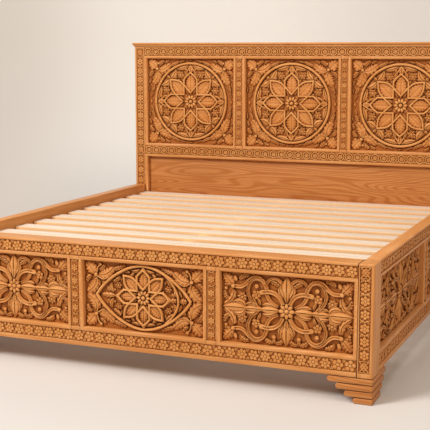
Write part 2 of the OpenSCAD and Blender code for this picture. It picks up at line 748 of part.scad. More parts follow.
mirror([1, 0, 0]) headboard_post();  // headboard_post_left
headboard_post();  // headboard_post_right
headboard_cap();
headboard_top_rail();
headboard_middle_rail();
headboard_bottom_rail();
headboard_muntin(-muntin_x);  // headboard_muntin_left
headboard_muntin(muntin_x);  // headboard_muntin_right
headboard_panel(-1);  // headboard_panel_left
headboard_panel(0);  // headboard_panel_centre
headboard_panel(1);  // headboard_panel_right
headboard_lower_board();
headboard_mouldings();
mirror([1, 0, 0]) footboard_post();  // footboard_post_left
footboard_post();  // footboard_post_right
footboard_top_rail();
footboard_bottom_rail();
footboard_muntin(-muntin_x);  // footboard_muntin_left
footboard_muntin(muntin_x);  // footboard_muntin_right
footboard_panel(-1);  // footboard_panel_left
footboard_panel(0);  // footboard_panel_centre
footboard_panel(1);  // footboard_panel_right
footboard_mouldings();
color(oak) stand_left() side_top_rail();  // left_side_top_rail
color(oak) stand_left() side_bottom_rail();  // left_side_bottom_rail
color(oak) stand_left() side_stile(-1);  // left_side_foot_stile
color(oak) stand_left() side_stile(1);  // left_side_head_stile
color(oak) stand_left() muntin(bottom_rail_hi, top_rail_lo);  // left_side_muntin
color(oak_dark) stand_left() side_panel(-1);  // left_side_foot_panel
color(oak_dark) stand_left() side_panel(1);  // left_side_head_panel
color(pine) stand_left() side_ledge();  // left_side_ledge
color(oak) stand_right() side_top_rail();  // right_side_top_rail
color(oak) stand_right() side_bottom_rail();  // right_side_bottom_rail
color(oak) stand_right() side_stile(-1);  // right_side_foot_stile
color(oak) stand_right() side_stile(1);  // right_side_head_stile
color(oak) stand_right() muntin(bottom_rail_hi, top_rail_lo);  // right_side_muntin
color(oak_dark) stand_right() side_panel(-1);  // right_side_foot_panel
color(oak_dark) stand_right() side_panel(1);  // right_side_head_panel
color(pine) stand_right() side_ledge();  // right_side_ledge
side_mouldings();
placed_foot(-1, -1);  // foot_front_left
placed_foot(1, -1);  // foot_front_right
placed_foot(-1, 1);  // foot_back_left
placed_foot(1, 1);  // foot_back_right
centre_beam();
centre_legs();
beam_brackets();
corner_fittings();
slat_screws();
slat(1);  // slat_1
slat(2);  // slat_2
slat(3);  // slat_3
slat(4);  // slat_4
slat(5);  // slat_5
slat(6);  // slat_6
slat(7);  // slat_7
slat(8);  // slat_8
slat(9);  // slat_9
slat(10);  // slat_10
slat(11);  // slat_11
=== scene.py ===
import math
import random

import bmesh
import bpy
from mathutils import Euler, Matrix, Vector


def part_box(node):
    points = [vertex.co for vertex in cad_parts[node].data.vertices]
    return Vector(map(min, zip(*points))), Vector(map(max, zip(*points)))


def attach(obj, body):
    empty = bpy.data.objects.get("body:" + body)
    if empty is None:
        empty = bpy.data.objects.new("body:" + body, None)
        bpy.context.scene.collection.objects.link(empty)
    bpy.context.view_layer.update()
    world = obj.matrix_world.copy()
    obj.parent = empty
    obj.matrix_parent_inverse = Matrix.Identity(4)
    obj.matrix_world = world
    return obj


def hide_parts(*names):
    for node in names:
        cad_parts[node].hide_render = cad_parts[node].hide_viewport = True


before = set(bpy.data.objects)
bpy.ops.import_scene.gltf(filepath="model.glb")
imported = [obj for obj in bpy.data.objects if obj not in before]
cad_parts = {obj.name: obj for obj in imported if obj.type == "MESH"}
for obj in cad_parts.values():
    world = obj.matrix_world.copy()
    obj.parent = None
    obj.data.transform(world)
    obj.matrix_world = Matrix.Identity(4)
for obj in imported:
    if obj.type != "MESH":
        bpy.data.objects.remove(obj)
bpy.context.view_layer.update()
scene = bpy.context.scene
print("frame loaded:", len(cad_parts), "nodes")


def addObject(name, data):
    thing = bpy.data.objects.new(name, data)
    scene.collection.objects.link(thing)
    return thing


def asMesh(part, name):
    mesh = bpy.data.meshes.new(name)
    part.to_mesh(mesh)
    part.free()
    return mesh


# Camera: fitted to the corners, rails and openings of the bed
camera = {
    "place": (2.1309, -5.3912, 1.4814),
    "down": 8.65,  # degrees below level
    "turn": 22.361,  # degrees from +Y towards -X
    "lens": 90.13,  # mm
    "sensor": 36,  # mm
    "clip": (0.05, 60),
}


def addCamera(look):
    data = bpy.data.cameras.new("camera")
    data.lens = look["lens"]
    data.sensor_width = look["sensor"]
    data.clip_start, data.clip_end = look["clip"]
    eye = addObject("camera", data)
    eye.location = look["place"]
    eye.rotation_euler = Euler((math.radians(90 - look["down"]), 0, math.radians(look["turn"])))
    scene.camera = eye


addCamera(camera)

# Light: a broad lamp overhead, a brighter one at the upper left, a weak one at the right,
# and a pale sky
light = {
    "sky": (0.122, 0.090, 0.058, 1),  # what the world adds to the lamps
    "beyond": (0.74, 0.65, 0.56, 1),  # what shows where a view passes the backdrop
    "lamps": {
        "overhead": {
            "place": (0.9, -1.6, 6.4), "aim": (0, -0.2, 0.5), "size": 4.6, "power": 134,
            "colour": (1, 1, 1),
        },
        "key": {
            "place": (-3.2, -5.8, 6.0), "aim": (0, -0.2, 0.5), "size": 3.0, "power": 622,
            "colour": (1, 1, 1),
        },
        "fill": {
            "place": (5.0, -4.0, 3.4), "aim": (0, 0, 0.5), "size": 3.6, "power": 128,
            "colour": (1.0, 0.86, 0.70),
        },
    },
}
backdrop = {
    "floor": (0.66, 0.62, 0.578, 1),
    "wall": (0.86, 0.825, 0.77, 1),
    "left": (0.72, 0.665, 0.605, 1),  # painted shade: the sheet grows darker towards the left
    "leftEdge": (-3.5, -2.0),  # where that change ends and starts
    "wallRight": (0.74, 0.705, 0.66, 1),  # painted shade on the wall towards the right
    "rightEdge": (-1.1, 0.6),
    "rise": 0.8,  # height at which the floor's colour has become the wall's
    "reach": 14.0,
    "wallBehind": 3.2,  # distance of the backdrop behind the bed's middle
    "sweep": 1.6,  # radius where the floor turns up into the backdrop
    "steps": 12,  # facets of that turn
    "height": 7.0,
    "roughness": 0.9,
    "gloss": 0.1,
}


def addLamp(name, look):
    data = bpy.data.lights.new(name, "AREA")
    data.shape = "DISK"
    data.size = look["size"]
    data.energy = look["power"]
    data.color = look["colour"]
    lamp = addObject(name, data)
    lamp.location = look["place"]
    aim = Vector(look["aim"]) - Vector(look["place"])
    lamp.rotation_euler = aim.to_track_quat("-Z", "Y").to_euler()


def tone(red, green, blue):
    # Screen colour, 0 to 255, as the linear colour that a shader takes
    steps = []
    for part in (red, green, blue):
        c = part / 255
        steps.append(c / 12.92 if c <= 0.04045 else ((c + 0.055) / 1.055) ** 2.4)
    return (*steps, 1.0)


class NodeDesk:
    # Short ways to add and join the nodes of a material or of the world
    def __init__(self, owner):
        owner.use_nodes = True
        self.tree = owner.node_tree

    def feed(self, node, slot, value):
        # Numbers and colours are set, the output of another node is linked
        if isinstance(value, (int, float, tuple)):
            node.inputs[slot].default_value = value
        else:
            self.tree.links.new(value, node.inputs[slot])

    def add(self, kind, inputs=None, **settings):
        node = self.tree.nodes.new(kind)
        for key, value in settings.items():
            setattr(node, key, value)
        for slot, value in (inputs or {}).items():
            self.feed(node, slot, value)
        return node.outputs

    def maths(self, operation, *values):
        return self.add("ShaderNodeMath", dict(enumerate(values)), operation=operation)[0]

    def between(self, value, low, high):
        inputs = {"Value": value, "From Min": low, "From Max": high}
        return self.add("ShaderNodeMapRange", inputs, interpolation_type="SMOOTHSTEP")["Result"]

    def blend(self, share, first, second):
        return self.add("ShaderNodeMix", {0: share, 6: first, 7: second}, data_type="RGBA")[2]

    def objectPlace(self):
        return self.add("ShaderNodeTexCoord")["Object"]

    def parts(self, vector):
        return self.add("ShaderNodeSeparateXYZ", {"Vector": vector})

    def finish(self, inputs):
        # What the material's own shader gets
        for slot, value in inputs.items():
            self.feed(self.tree.nodes["Principled BSDF"], slot, value)


def addSky(look):
    scene.world = bpy.data.worlds.new("sky")
    desk = NodeDesk(scene.world)
    path = desk.add("ShaderNodeLightPath")
    seen = path["Is Camera Ray"]
    for kind in ("Is Glossy Ray", "Is Transmission Ray"):
        seen = desk.maths("MAXIMUM", seen, path[kind])
    colour = desk.blend(seen, look["sky"], look["beyond"])
    desk.feed(desk.tree.nodes["Background"], "Color", colour)


def stageMaterial(name, look):
    material = bpy.data.materials.new(name)
    desk = NodeDesk(material)
    parts = desk.parts(desk.objectPlace())
    # Painted shade towards the left and right of the sheet
    wall = desk.blend(desk.between(parts["X"], *look["rightEdge"]), look["wall"], look["wallRight"])
    pale = desk.blend(desk.between(parts["Z"], 0, look["rise"]), look["floor"], wall)
    desk.finish({
        "Base Color": desk.blend(desk.between(parts["X"], *look["leftEdge"]), look["left"], pale),
        "Roughness": look["roughness"],
        "Specular IOR Level": look["gloss"],
    })
    # From behind, the sheet lets the view through to the back of the bed
    oneSided = desk.add("ShaderNodeMixShader", {
        0: desk.add("ShaderNodeNewGeometry")["Backfacing"],
        1: desk.tree.nodes["Principled BSDF"].outputs[0],
        2: desk.add("ShaderNodeBsdfTransparent")[0],
    })
    desk.feed(desk.tree.nodes["Material Output"], "Surface", oneSided[0])
    return material


def patch(part, steps, across):
    # A grid whose points are then laid along a path: (point, place along, place across)
    made = bmesh.ops.create_grid(part, x_segments=steps, y_segments=across, size=1.0)["verts"]
    return [(v, round((v.co.x + 1) / 2 * steps), round((v.co.y + 1) / 2 * across)) for v in made]


def addBackdrop(look):
    # One sheet: the floor runs back, turns up round the sweep and becomes the wall
    wall, sweep = look["wallBehind"], look["sweep"]
    line = [(-look["reach"], 0.0)]
    for i in range(look["steps"] + 1):
        turn = math.radians(90 * i / look["steps"])
        line.append((wall - sweep + sweep * math.sin(turn), sweep * (1 - math.cos(turn))))
    line.append((wall, look["height"]))
    bm = bmesh.new()
    for point, i, j in patch(bm, len(line) - 1, 1):
        point.co = ((2 * j - 1) * look["reach"], *line[i])
    bmesh.ops.recalc_face_normals(bm, faces=bm.faces[:])
    if max(bm.faces, key=lambda face: abs(face.normal.z)).normal.z < 0:
        bmesh.ops.reverse_faces(bm, faces=bm.faces[:])
    mesh = asMesh(bm, "backdrop")
    mesh.shade_smooth()
    mesh.materials.append(stageMaterial("backdropPaper", look))
    addObject("backdrop", mesh)


scene.view_settings.view_transform = "Standard"
addSky(light)
for name, look in light["lamps"].items():
    addLamp(name + "Lamp", look)
addBackdrop(backdrop)
print("camera, lamps and backdrop ready")


# Woods and metal. A look gives the tones of one wood and how its grain is drawn.
grainTurn = {
    "X": (0, 0, 0),
    "Y": (0, 0, math.radians(-90)),
    "Z": (0, math.radians(90), 0),
}
# Noises that every wood has: how they are drawn out along and across the grain, the range and
# the share with which they darken the wood, and how far the fibres roughen and raise it
grainNoise = {
    "swell": {"stretch": (0.55, 5.0, 5.0), "detail": 2.0, "rough": 0.45, "share": 0.75},
    "fibre": {"stretch": (3.0, 150.0, 150.0), "detail": 3.0, "rough": 0.6,
              "edge": (0.42, 0.75), "share": 0.55, "spread": 0.16, "bump": 0.6},
    "pores": {"stretch": (22.0, 620.0, 620.0), "detail": 2.0, "rough": 0.55,
              "edge": (0.62, 0.72), "share": 0.45},
    "patch": {"stretch": (0.9, 3.0, 3.0), "detail": 2.0, "rough": 0.55,
              "edge": (0.5, 0.8), "share": 0.35},
}
oakLook = {
    "pale": tone(218, 154, 92),
    "honey": tone(207, 138, 74),
    "brown": tone(174, 106, 48),
    "pore": tone(132, 76, 30),
    "roughness": 0.46,
    "gloss": 0.3,
    "ringCount": 15.0,
    "ringEdge": (-0.9, 1.0),  # share of each ring between its dark and its pale wood
    "poreDepth": 0.0003,
    # Painted shade in narrow places, from ambient occlusion: its reach, and how open a place is at
    # full shade and at none
    "nookShade": {"tone": tone(92, 46, 14), "reach": 0.006, "edge": (0.45, 0.86), "alone": False},
}
# The lower board and the feet take a darker copy of the oak: partly painted shade, partly a bolder
# grain with closer rings
boardLook = {
    **oakLook,
    "pale": tone(204, 138, 77),
    "honey": tone(180, 110, 52),
    "brown": tone(154, 88, 38),
    "ringCount": 34.0,
    "ringEdge": (-1.0, 0.3),
}
jointLook = {
    **oakLook,
    # Dark line where the footboard's posts and rails meet, on both sides of the bed's middle
    "joint": {
        "place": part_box("footboard_post_right")[0].x, "edge": (0.0018, 0.0036),
        "tone": tone(88, 46, 16),
    },
}
carvedLook = {
    **oakLook,
    "pale": tone(223, 160, 95),
    "honey": tone(211, 144, 78),
    "brown": tone(186, 112, 48),
    "pore": tone(144, 82, 30),
    "roughness": 0.58,
    "gloss": 0.22,
    "ringCount": 12.0,
    "hollowShade": tone(132, 72, 21),  # painted shade in the ground of the carving
    "hollowShadeEdge": (0.0, 0.8),
    "valleyShade": tone(184, 108, 44),  # a lighter painted shade in veins and lower slopes
    "valleyShadeEdge": (0.48, 0.95),
    "nookShade": {"tone": tone(90, 40, 6), "reach": 0.014, "edge": (0.34, 0.83), "alone": True},
}
# The long side panels get a darker painted shade between their leaves
sideLook = {
    **carvedLook,
    "nookShade": {"tone": tone(84, 36, 5), "reach": 0.016, "edge": (0.44, 0.95), "alone": True},
}
# The bands' carving is shallow, and its painted shade reaches less far
shallowLook = {
    **carvedLook,
    "nookShade": {"tone": tone(96, 46, 10), "reach": 0.010, "edge": (0.24, 0.82), "alone": True},
}
pineLook = {
    "pale": tone(233, 217, 199),
    "honey": tone(230, 210, 188),
    "brown": tone(222, 198, 170),
    "pore": tone(213, 184, 152),
    "roughness": 0.55,
    "gloss": 0.3,
    "ringCount": 9.0,
    "ringEdge": (-0.9, 1.0),
    "poreDepth": 0.0001,
}
# Painted shade and warm bounce light for the slats' narrow sides
pineSideShadeLook = {
    **pineLook,
    "pale": tone(248, 204, 150),
    "honey": tone(243, 194, 138),
    "brown": tone(232, 178, 120),
    "pore": tone(216, 158, 100),
    "roughness": 0.6,
}
steelLook = {
    "dark": tone(158, 160, 163),
    "pale": tone(186, 188, 190),
    "cloud": {"Scale": 90.0, "Detail": 4.0, "Roughness": 0.55},
    "edge": (0.35, 0.7),
    "roughness": 0.28,
    "spread": 0.2,
}


def woodMaterial(name, grain, look):
    material = bpy.data.materials.new(name)
    desk = NodeDesk(material)
    place = desk.objectPlace()
    turn = {"Vector": place, "Rotation": grainTurn[grain]}
    along = desk.add("ShaderNodeMapping", turn)["Vector"]

    def noise(kind):
        drawn = grainNoise[kind]
        spread = desk.add("ShaderNodeMapping", {"Vector": along, "Scale": drawn["stretch"]})
        return desk.add("ShaderNodeTexNoise", {
            "Vector": spread["Vector"], "Scale": 1.0, "Detail": drawn["detail"],
            "Roughness": drawn["rough"],
        })["Fac"]

    def share(kind, value):
        return desk.maths("MULTIPLY", value, grainNoise[kind]["share"])

    def edged(kind, value):
        return desk.between(value, *grainNoise[kind]["edge"])
    # Growth rings: contours of a noise drawn out along the grain
    turns = desk.maths("MULTIPLY", noise("swell"), look["ringCount"] * 2 * math.pi)
    rings = desk.between(desk.maths("SINE", turns), *look["ringEdge"])
    fibre = noise("fibre")
    pores = edged("pores", noise("pores"))
    colour = desk.blend(share("swell", rings), look["honey"], look["pale"])
    colour = desk.blend(share("fibre", edged("fibre", fibre)), colour, look["brown"])
    colour = desk.blend(share("patch", edged("patch", noise("patch"))), colour, look["brown"])
    colour = desk.blend(share("pores", pores), colour, look["pore"])
    if "hollowShade" in look:
        # Painted shade on the carving's low parts, set by the height that the relief attribute
        # holds
        height = desk.add("ShaderNodeAttribute", attribute_name="relief")["Fac"]
        for paintedShade in ("valleyShade", "hollowShade"):
            unshaded = desk.between(height, *look[paintedShade + "Edge"])
            colour = desk.blend(unshaded, look[paintedShade], colour)
    # Painted shade in nooks, corners and joints, from an ambient occlusion node
    if "nookShade" in look:
        nookShade = look["nookShade"]
        nook = desk.add("ShaderNodeAmbientOcclusion", {"Distance": nookShade["reach"]},
                        samples=6, only_local=nookShade["alone"])["AO"]
        openness = desk.between(nook, *nookShade["edge"])
        colour = desk.blend(openness, nookShade["tone"], colour)
    if "joint" in look:
        joint = look["joint"]
        beside = desk.maths("ABSOLUTE", desk.parts(place)["X"])
        away = desk.maths("ABSOLUTE", desk.maths("SUBTRACT", beside, joint["place"]))
        clear = desk.between(away, *joint["edge"])
        colour = desk.blend(clear, joint["tone"], colour)
    spread, bump = grainNoise["fibre"]["spread"], grainNoise["fibre"]["bump"]
    desk.finish({
        "Base Color": colour,
        "Roughness": desk.maths("MULTIPLY_ADD", fibre, spread, look["roughness"] - spread / 2),
        "Normal": desk.add("ShaderNodeBump", {
            "Strength": bump, "Distance": look["poreDepth"],
            "Height": desk.maths("SUBTRACT", fibre, pores),
        })["Normal"],
        "Specular IOR Level": look["gloss"],
    })
    return material


def steelMaterial(name, look):
    material = bpy.data.materials.new(name)
    desk = NodeDesk(material)
    cloud = desk.add("ShaderNodeTexNoise", {"Vector": desk.objectPlace(), **look["cloud"]})["Fac"]
    desk.finish({
        "Base Color": desk.blend(desk.between(cloud, *look["edge"]), look["dark"], look["pale"]),
        "Roughness": desk.maths("MULTIPLY_ADD", cloud, look["spread"], look["roughness"]),
        "Metallic": 1.0,
    })
    return material


def woods(name, grains, look):
    return {grain: woodMaterial(name + grain, grain, look) for grain in grains}


oak = woods("oakAlong", "XYZ", oakLook)
jointOak = woods("jointOakAlong", "XZ", jointLook)
carvedOak = {**woods("carvedOakAlong", "X", carvedLook), **woods("carvedOakAlong", "Y", sideLook)}
bandOak = woods("bandOakAlong", "XY", shallowLook)
pine = woods("pineAlong", "XY", pineLook)
pineSideShade = woodMaterial("pineSideShade", "X", pineSideShadeLook)
boardOak = woodMaterial("boardOak", "X", boardLook)
steel = steelMaterial("zincSteel", steelLook)
print("materials ready")


# Softened copies of the plain members
softening = {
    "ease": 0.0018,  # width taken off an edge when it is sanded round
    "merge": 0.00001,
    "flat": math.radians(0.5),  # faces that meet at less than this become one
    "edge": math.radians(35),  # edges sharper than this are eased
    "smooth": math.radians(40),
}


def softened(node, materials, choose=None):
    # The member's own mesh with its sharp edges eased, as planed and sanded wood has them
    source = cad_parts[node]
    bm = bmesh.new()
    bm.from_mesh(source.data)
    bmesh.ops.remove_doubles(bm, verts=bm.verts[:], dist=softening["merge"])
    bmesh.ops.dissolve_limit(
        bm, angle_limit=softening["flat"], verts=bm.verts[:], edges=bm.edges[:], delimit=set()
    )
    sharp = [
        edge for edge in bm.edges
        if edge.is_manifold and edge.calc_face_angle_signed(0) > softening["edge"]
    ]
    bmesh.ops.bevel(
        bm, geom=sharp, offset=softening["ease"], offset_type="OFFSET", segments=2, profile=0.5,
        affect="EDGES", clamp_overlap=True, material=-1
    )
    for face in bm.faces:
        if choose:
            face.material_index = choose(face)
    mesh = asMesh(bm, node + "_soft")
    for material in materials:
        mesh.materials.append(material)
    mesh.shade_smooth()
    mesh.set_sharp_from_angle(angle=softening["smooth"])
    piece = addObject(node + "_soft", mesh)
    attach(piece, "root")
    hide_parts(node)
    return piece


def oakOf(name):
    # Posts, muntins, stiles and legs stand; the side frames' rails run along the bed
    if name.startswith("foot_") or name == "headboard_lower_board":
        return boardOak
    if any(word in name for word in ("post", "muntin", "stile", "legs")):
        grain = "Z"
    else:
        grain = "Y" if "_side_" in name else "X"
    jointed = name.startswith("footboard_") and "muntin" not in name
    return (jointOak if jointed else oak)[grain]


hands = ("left", "right")
rails = ("cap", "top_rail", "middle_rail", "bottom_rail", "lower_board")
members = [f"headboard_{part}" for part in rails]
members += ["footboard_top_rail", "footboard_bottom_rail"]
members += [f"foot_{end}_{hand}" for end in ("front", "back") for hand in hands]
members += [f"{hand}_side_{level}_rail" for hand in hands for level in ("top", "bottom")]
for board in ("headboard", "footboard"):
    members += [f"{board}_{part}_{hand}" for part in ("post", "muntin") for hand in hands]
members.append("centre_legs")
for hand in hands:
    members += [f"{hand}_side_{part}" for part in ("foot_stile", "head_stile", "muntin")]
for name in members:
    softened(name, [oakOf(name)])
for name in ("left_side_ledge", "right_side_ledge", "centre_beam"):
    softened(name, [pine["Y"]])


def slatSide(face):
    # The narrow long sides of a slat take a warmer, darker colour than its top: painted shade and
    # painted warm bounce light
    steep = 0.7
    return int(abs(face.normal.y) > steep)


slatCount = 11
for i in range(slatCount):
    softened(f"slat_{i + 1}", [pine["X"], pineSideShade], choose=slatSide)


def stripGrain(panels, level):
    # Tells an upright strip from a level one by the opening's edge that it lies nearest to
    openings = []
    for name in panels:
        low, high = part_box(name)
        openings.append(((low + high) / 2, (high - low) / 2))

    def choose(face):
        spot = face.calc_center_median()

        def away(opening):
            centre, half = opening
            beside = abs(spot[level] - centre[level]) - half[level]
            return max(beside, abs(spot.z - centre.z) - half.z)
        centre, half = min(openings, key=away)
        beside = half[level] - abs(spot[level] - centre[level])
        return 1 if beside < half.z - abs(spot.z - centre.z) else 0
    return choose


sidePanels = [f"{hand}_side_{end}_panel" for hand in hands for end in ("foot", "head")]
headPanels = [f"headboard_panel_{place}" for place in ("left", "centre", "right")]
footPanels = [f"footboard_panel_{place}" for place in ("left", "centre", "right")]
for name, panels, grain, level in (
    ("headboard_mouldings", [*headPanels, "headboard_lower_board"], "X", 0),
    ("footboard_mouldings", footPanels, "X", 0),
    ("side_mouldings", sidePanels, "Y", 1),
):
    strips = softened(name, [oak[grain], oak["Z"]], choose=stripGrain(panels, level))
for name in ("beam_brackets", "corner_fittings", "slat_screws"):
    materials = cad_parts[name].data.materials
    materials.clear()
    materials.append(steel)
print("plain members ready")


# Carving tools. Every shape is carved flat, x to the right, y up and z out of the ground,
# and the finished panel is then stood up in its frame.
carvingLook = {
    "floor": -0.0006,  # carved shapes reach this far into their ground
    "full": 0.015,  # height above which the carving has no painted shade
    "least": 0.3,  # painted shade on the lowest carving, between 0 dark and 1 unshaded
    "smooth": math.radians(52),
}


def polar(reach, degrees):
    angle = math.radians(degrees)
    return Vector((math.cos(angle), math.sin(angle))) * reach


def solid(part):
    # The mesh of a closed shape, its faces turned outwards
    bmesh.ops.recalc_face_normals(part, faces=part.faces[:])
    return asMesh(part, "shape")


def closeUnder(part, ring=False):
    # Shuts the underside of a shape that was laid on the ground, and gives it as a mesh
    bmesh.ops.remove_doubles(part, verts=part.verts[:], dist=0.00002)
    rims = [e for e in part.edges if e.is_boundary]
    if ring:
        bmesh.ops.bridge_loops(part, edges=rims)
    else:
        bmesh.ops.holes_fill(part, edges=rims, sides=0)
    return solid(part)


def gathered(shapes):
    # Joins many small meshes, a few at a time, and removes them
    while len(shapes) > 1:
        fewer = []
        for k in range(0, len(shapes), 16):
            part = bmesh.new()
            for mesh in shapes[k:k + 16]:
                part.from_mesh(mesh)
                bpy.data.meshes.remove(mesh)
            fewer.append(asMesh(part, "joined"))
        shapes = fewer
    return shapes[0]


def flow(points, steps=4):
    # A smooth line through the given points
    line = []
    ahead = 2 * points[0] - points[1]
    beyond = 2 * points[-1] - points[-2]
    knots = [ahead, *points, beyond]
    for a, b, c, d in zip(knots, knots[1:], knots[2:], knots[3:]):
        for k in range(steps):
            t = k / steps
            line.append(
                0.5 * (2 * b + (c - a) * t + (2 * a - 5 * b + 4 * c - d) * t * t
                       + (3 * b - a - 3 * c + d) * t ** 3)
            )
    return [*line, points[-1]]


def section(*half):
    # A strap's section from its right half: place across and height, from the middle outwards
    return [(-across, up) for across, up in reversed(half)] + list(half)


roundStrap = section((0.25, 1), (0.7, 0.9), (1, 0.6), (1, 0))
ribbedStrap = section((0.16, 0.66), (0.64, 1), (1, 0.6), (1, 0))
strapLook = {
    "shortest": 1e-7,  # a shorter step has no direction of its own
    "sharpest": 0.45,  # keeps a strap from growing too wide in a sharp bend
    "thin": 0.6,  # height of a strap that has tapered to nothing
}


def strap(work, line, width, height, profile=roundStrap, closed=False, taper=None):
    # A moulded band along a line; taper gives the width's share at the start and the end
    look = strapLook
    steps = len(line) if closed else len(line) + 1
    part = bmesh.new()
    grid = patch(part, steps, len(profile) - 1)
    spots = [*line, line[0]] if closed else [line[0], *line, line[-1]]
    last = len(spots) - 1
    for point, i, j in grid:
        here = spots[i]
        k = i if closed else min(max(i, 1), last - 1)
        before = spots[k - 1] if k or not closed else spots[last - 1]
        after = spots[k + 1] if k < last else spots[1]
        into, out = here - before, after - here
        if into.length < look["shortest"]:
            into = out
        if out.length < look["shortest"]:
            out = into
        into, out = into.normalized(), out.normalized()
        way = (into + out).normalized()
        normal = Vector((-way.y, way.x))
        mitre = 1 / max(look["sharpest"], normal.dot(Vector((-into.y, into.x))))
        share = 1.0
        if taper:
            share = taper[0] + (taper[1] - taper[0]) * i / last
        across, up = profile[j]
        spot = here + normal * across * width / 2 * mitre * share
        z = up * height * (look["thin"] + (1 - look["thin"]) * share)
        if not closed and i in (0, last):
            z = 0
        point.co = (spot.x, spot.y, z if z > 0 else carvingLook["floor"])
    work.append(closeUnder(part, closed))


leafLook = {
    "across": (-1, -0.94, -0.62, -0.15, 0, 0.15, 0.62, 0.94, 1),
    "rise": (0, 0.50, 0.84, 1.0, 0.66, 1.0, 0.84, 0.50, 0),
    "steps": 9,  # of a leaf without lobes
    "belly": 0.8,  # puts the widest place a little nearer to its start
    "dip": 1.5,  # how fast a notch deepens away from the vein
    "lean": 0.16,  # how far its sides lie ahead of its vein
    "ends": 0.72,  # height at its ends against that at its middle
    "foot": 0.06,  # depth of a straight leaf's shape, which is 1 high, in its ground
}
leafNotch = {"reach": 0.73, "rise": 0.60, "forward": 0.9}
fineNotch = {"reach": 0.84, "rise": 0.62, "forward": 0.9}


def leaf(work, start, middle, end, width, height, lobes=0, full=0.75, notch=leafNotch,
         foot=carvingLook["floor"]):
    # A veined leaf on a bent line from start to end; middle bends it, lobes cut its edge
    look = leafLook
    steps = 2 * lobes + 3 if lobes else look["steps"]
    part = bmesh.new()
    for point, i, j in patch(part, steps, len(look["across"]) - 1):
        t = i / steps if lobes else 0.5 - 0.5 * math.cos(math.pi * i / steps)
        s = look["across"][j]
        fullness = math.sin(math.pi * t ** look["belly"]) ** full if 0 < i < steps else 0
        notched = i % 2 == 0 and 0 < i <= 2 * lobes
        if i % 2 and i < 2 * lobes:
            t += notch["forward"] * abs(s) / steps
        t = min(1, t + look["lean"] * abs(s) * t * (1 - t))
        centre = start * (1 - t) ** 2 + middle * 2 * t * (1 - t) + end * t * t
        way = ((middle - start) * (1 - t) + (end - middle) * t).normalized()
        normal = Vector((-way.y, way.x))
        half = width / 2 * fullness * (notch["reach"] if notched else 1)
        spot = centre + normal * s * half
        swell = look["ends"] + (1 - look["ends"]) * math.sin(math.pi * t)
        z = look["rise"][j] * height * swell
        if notched:
            z *= 1 - (1 - notch["rise"]) * min(1, look["dip"] * abs(s))
        if i in (0, steps):
            z = 0
        point.co = (spot.x, spot.y, z if z > 0 else foot)
    work.append(closeUnder(part))


leafShapes = {}


def straightLeaf(work, start, end, width, height, lobes=0, full=0.75, notch=leafNotch):
    # Straight leaves are scaled copies of one shape for each kind of edge
    key = (lobes, full, notch["reach"])
    if key not in leafShapes:
        made = []
        line = [Vector((x, 0)) for x in (0, 0.5, 1)]
        leaf(made, *line, 1, 1, lobes, full, notch, -leafLook["foot"])
        leafShapes[key] = made[0]
    along = end - start
    size = (along.length, width, height)
    stamp(work, leafShapes[key], spotMatrix(start, math.atan2(along.y, along.x), size))


def domeMesh(sides, rings, swell, plump):
    # Upper half of a ball of radius 1; a small swell gives it a flatter top, plump fuller sides
    part = bmesh.new()
    bmesh.ops.create_uvsphere(part, u_segments=sides, v_segments=2 * rings, radius=1.0)
    everything = part.verts[:] + part.edges[:] + part.faces[:]
    foot, crown = -0.05, 0.95
    bmesh.ops.bisect_plane(
        part, geom=everything, plane_co=(0, 0, foot), plane_no=(0, 0, 1), clear_inner=True
    )
    bmesh.ops.holes_fill(part, edges=[e for e in part.edges if e.is_boundary], sides=0)
    for v in part.verts:
        if v.co.z > 0:
            if v.co.z < crown:
                v.co.xy *= 1 + plump * v.co.z
            v.co.z = v.co.z ** swell
    return solid(part)


def stamp(work, shape, matrix):
    # Adds a copy of a small mesh, moved by the matrix
    copy = shape.copy()
    copy.transform(matrix)
    work.append(copy)


def spotMatrix(centre, turn=0.0, size=(1, 1, 1), lift=0.0):
    place = Matrix.Translation((centre.x, centre.y, lift))
    return place @ Matrix.Rotation(turn, 4, "Z") @ Matrix.Diagonal((*size, 1))


dome = domeMesh(8, 2, 0.6, 0.36)
fineDome = domeMesh(14, 3, 0.7, 0.22)
blossomLook = {
    "longest": 0.38,  # half a petal's length, as a share of the flower's radius
    "long": 3.3,  # the same for many petals, times their number
    "plump": 1.15,  # a petal's width against its length
    "apart": 1.06,  # or against its share of the circle
    "petalRise": 0.8,
    "boss": 0.30,
}
daisyLook = {"start": 0.12, "width": 0.66, "petalRise": 0.85, "boss": 0.26}
blossomShapes = {}


def bead(work, centre, radius, height):
    stamp(work, dome, spotMatrix(centre, 0, (radius, radius, height)))


def blossom(work, centre, radius, petals, height, turn=0.0, shape=dome):
    # Round petals about a raised boss; each number of petals is made once
    key = (petals, shape.name)
    if key not in blossomShapes:
        look = blossomLook
        made = []
        long = min(look["longest"], look["long"] / petals)
        wide = min(long * look["plump"], look["apart"] * math.pi * (1 - long) / petals)
        for k in range(petals):
            spot = polar(1 - long, 360 * k / petals)
            size = (long, wide, look["petalRise"])
            stamp(made, shape, spotMatrix(spot, 2 * math.pi * k / petals, size))
        stamp(made, shape, spotMatrix(Vector((0, 0)), 0, (look["boss"], look["boss"], 1)))
        blossomShapes[key] = gathered(made)
    stamp(work, blossomShapes[key], spotMatrix(centre, turn, (radius, radius, height)))


def daisy(work, centre, radius, petals, height, turn=0.0):
    # Pointed petals about a small boss
    look = daisyLook
    for k in range(petals):
        out = polar(radius, math.degrees(turn) + 360 * k / petals)
        width, rise = radius * look["width"], height * look["petalRise"]
        straightLeaf(work, centre + out * look["start"], centre + out, width, rise)
    bead(work, centre, radius * look["boss"], height)


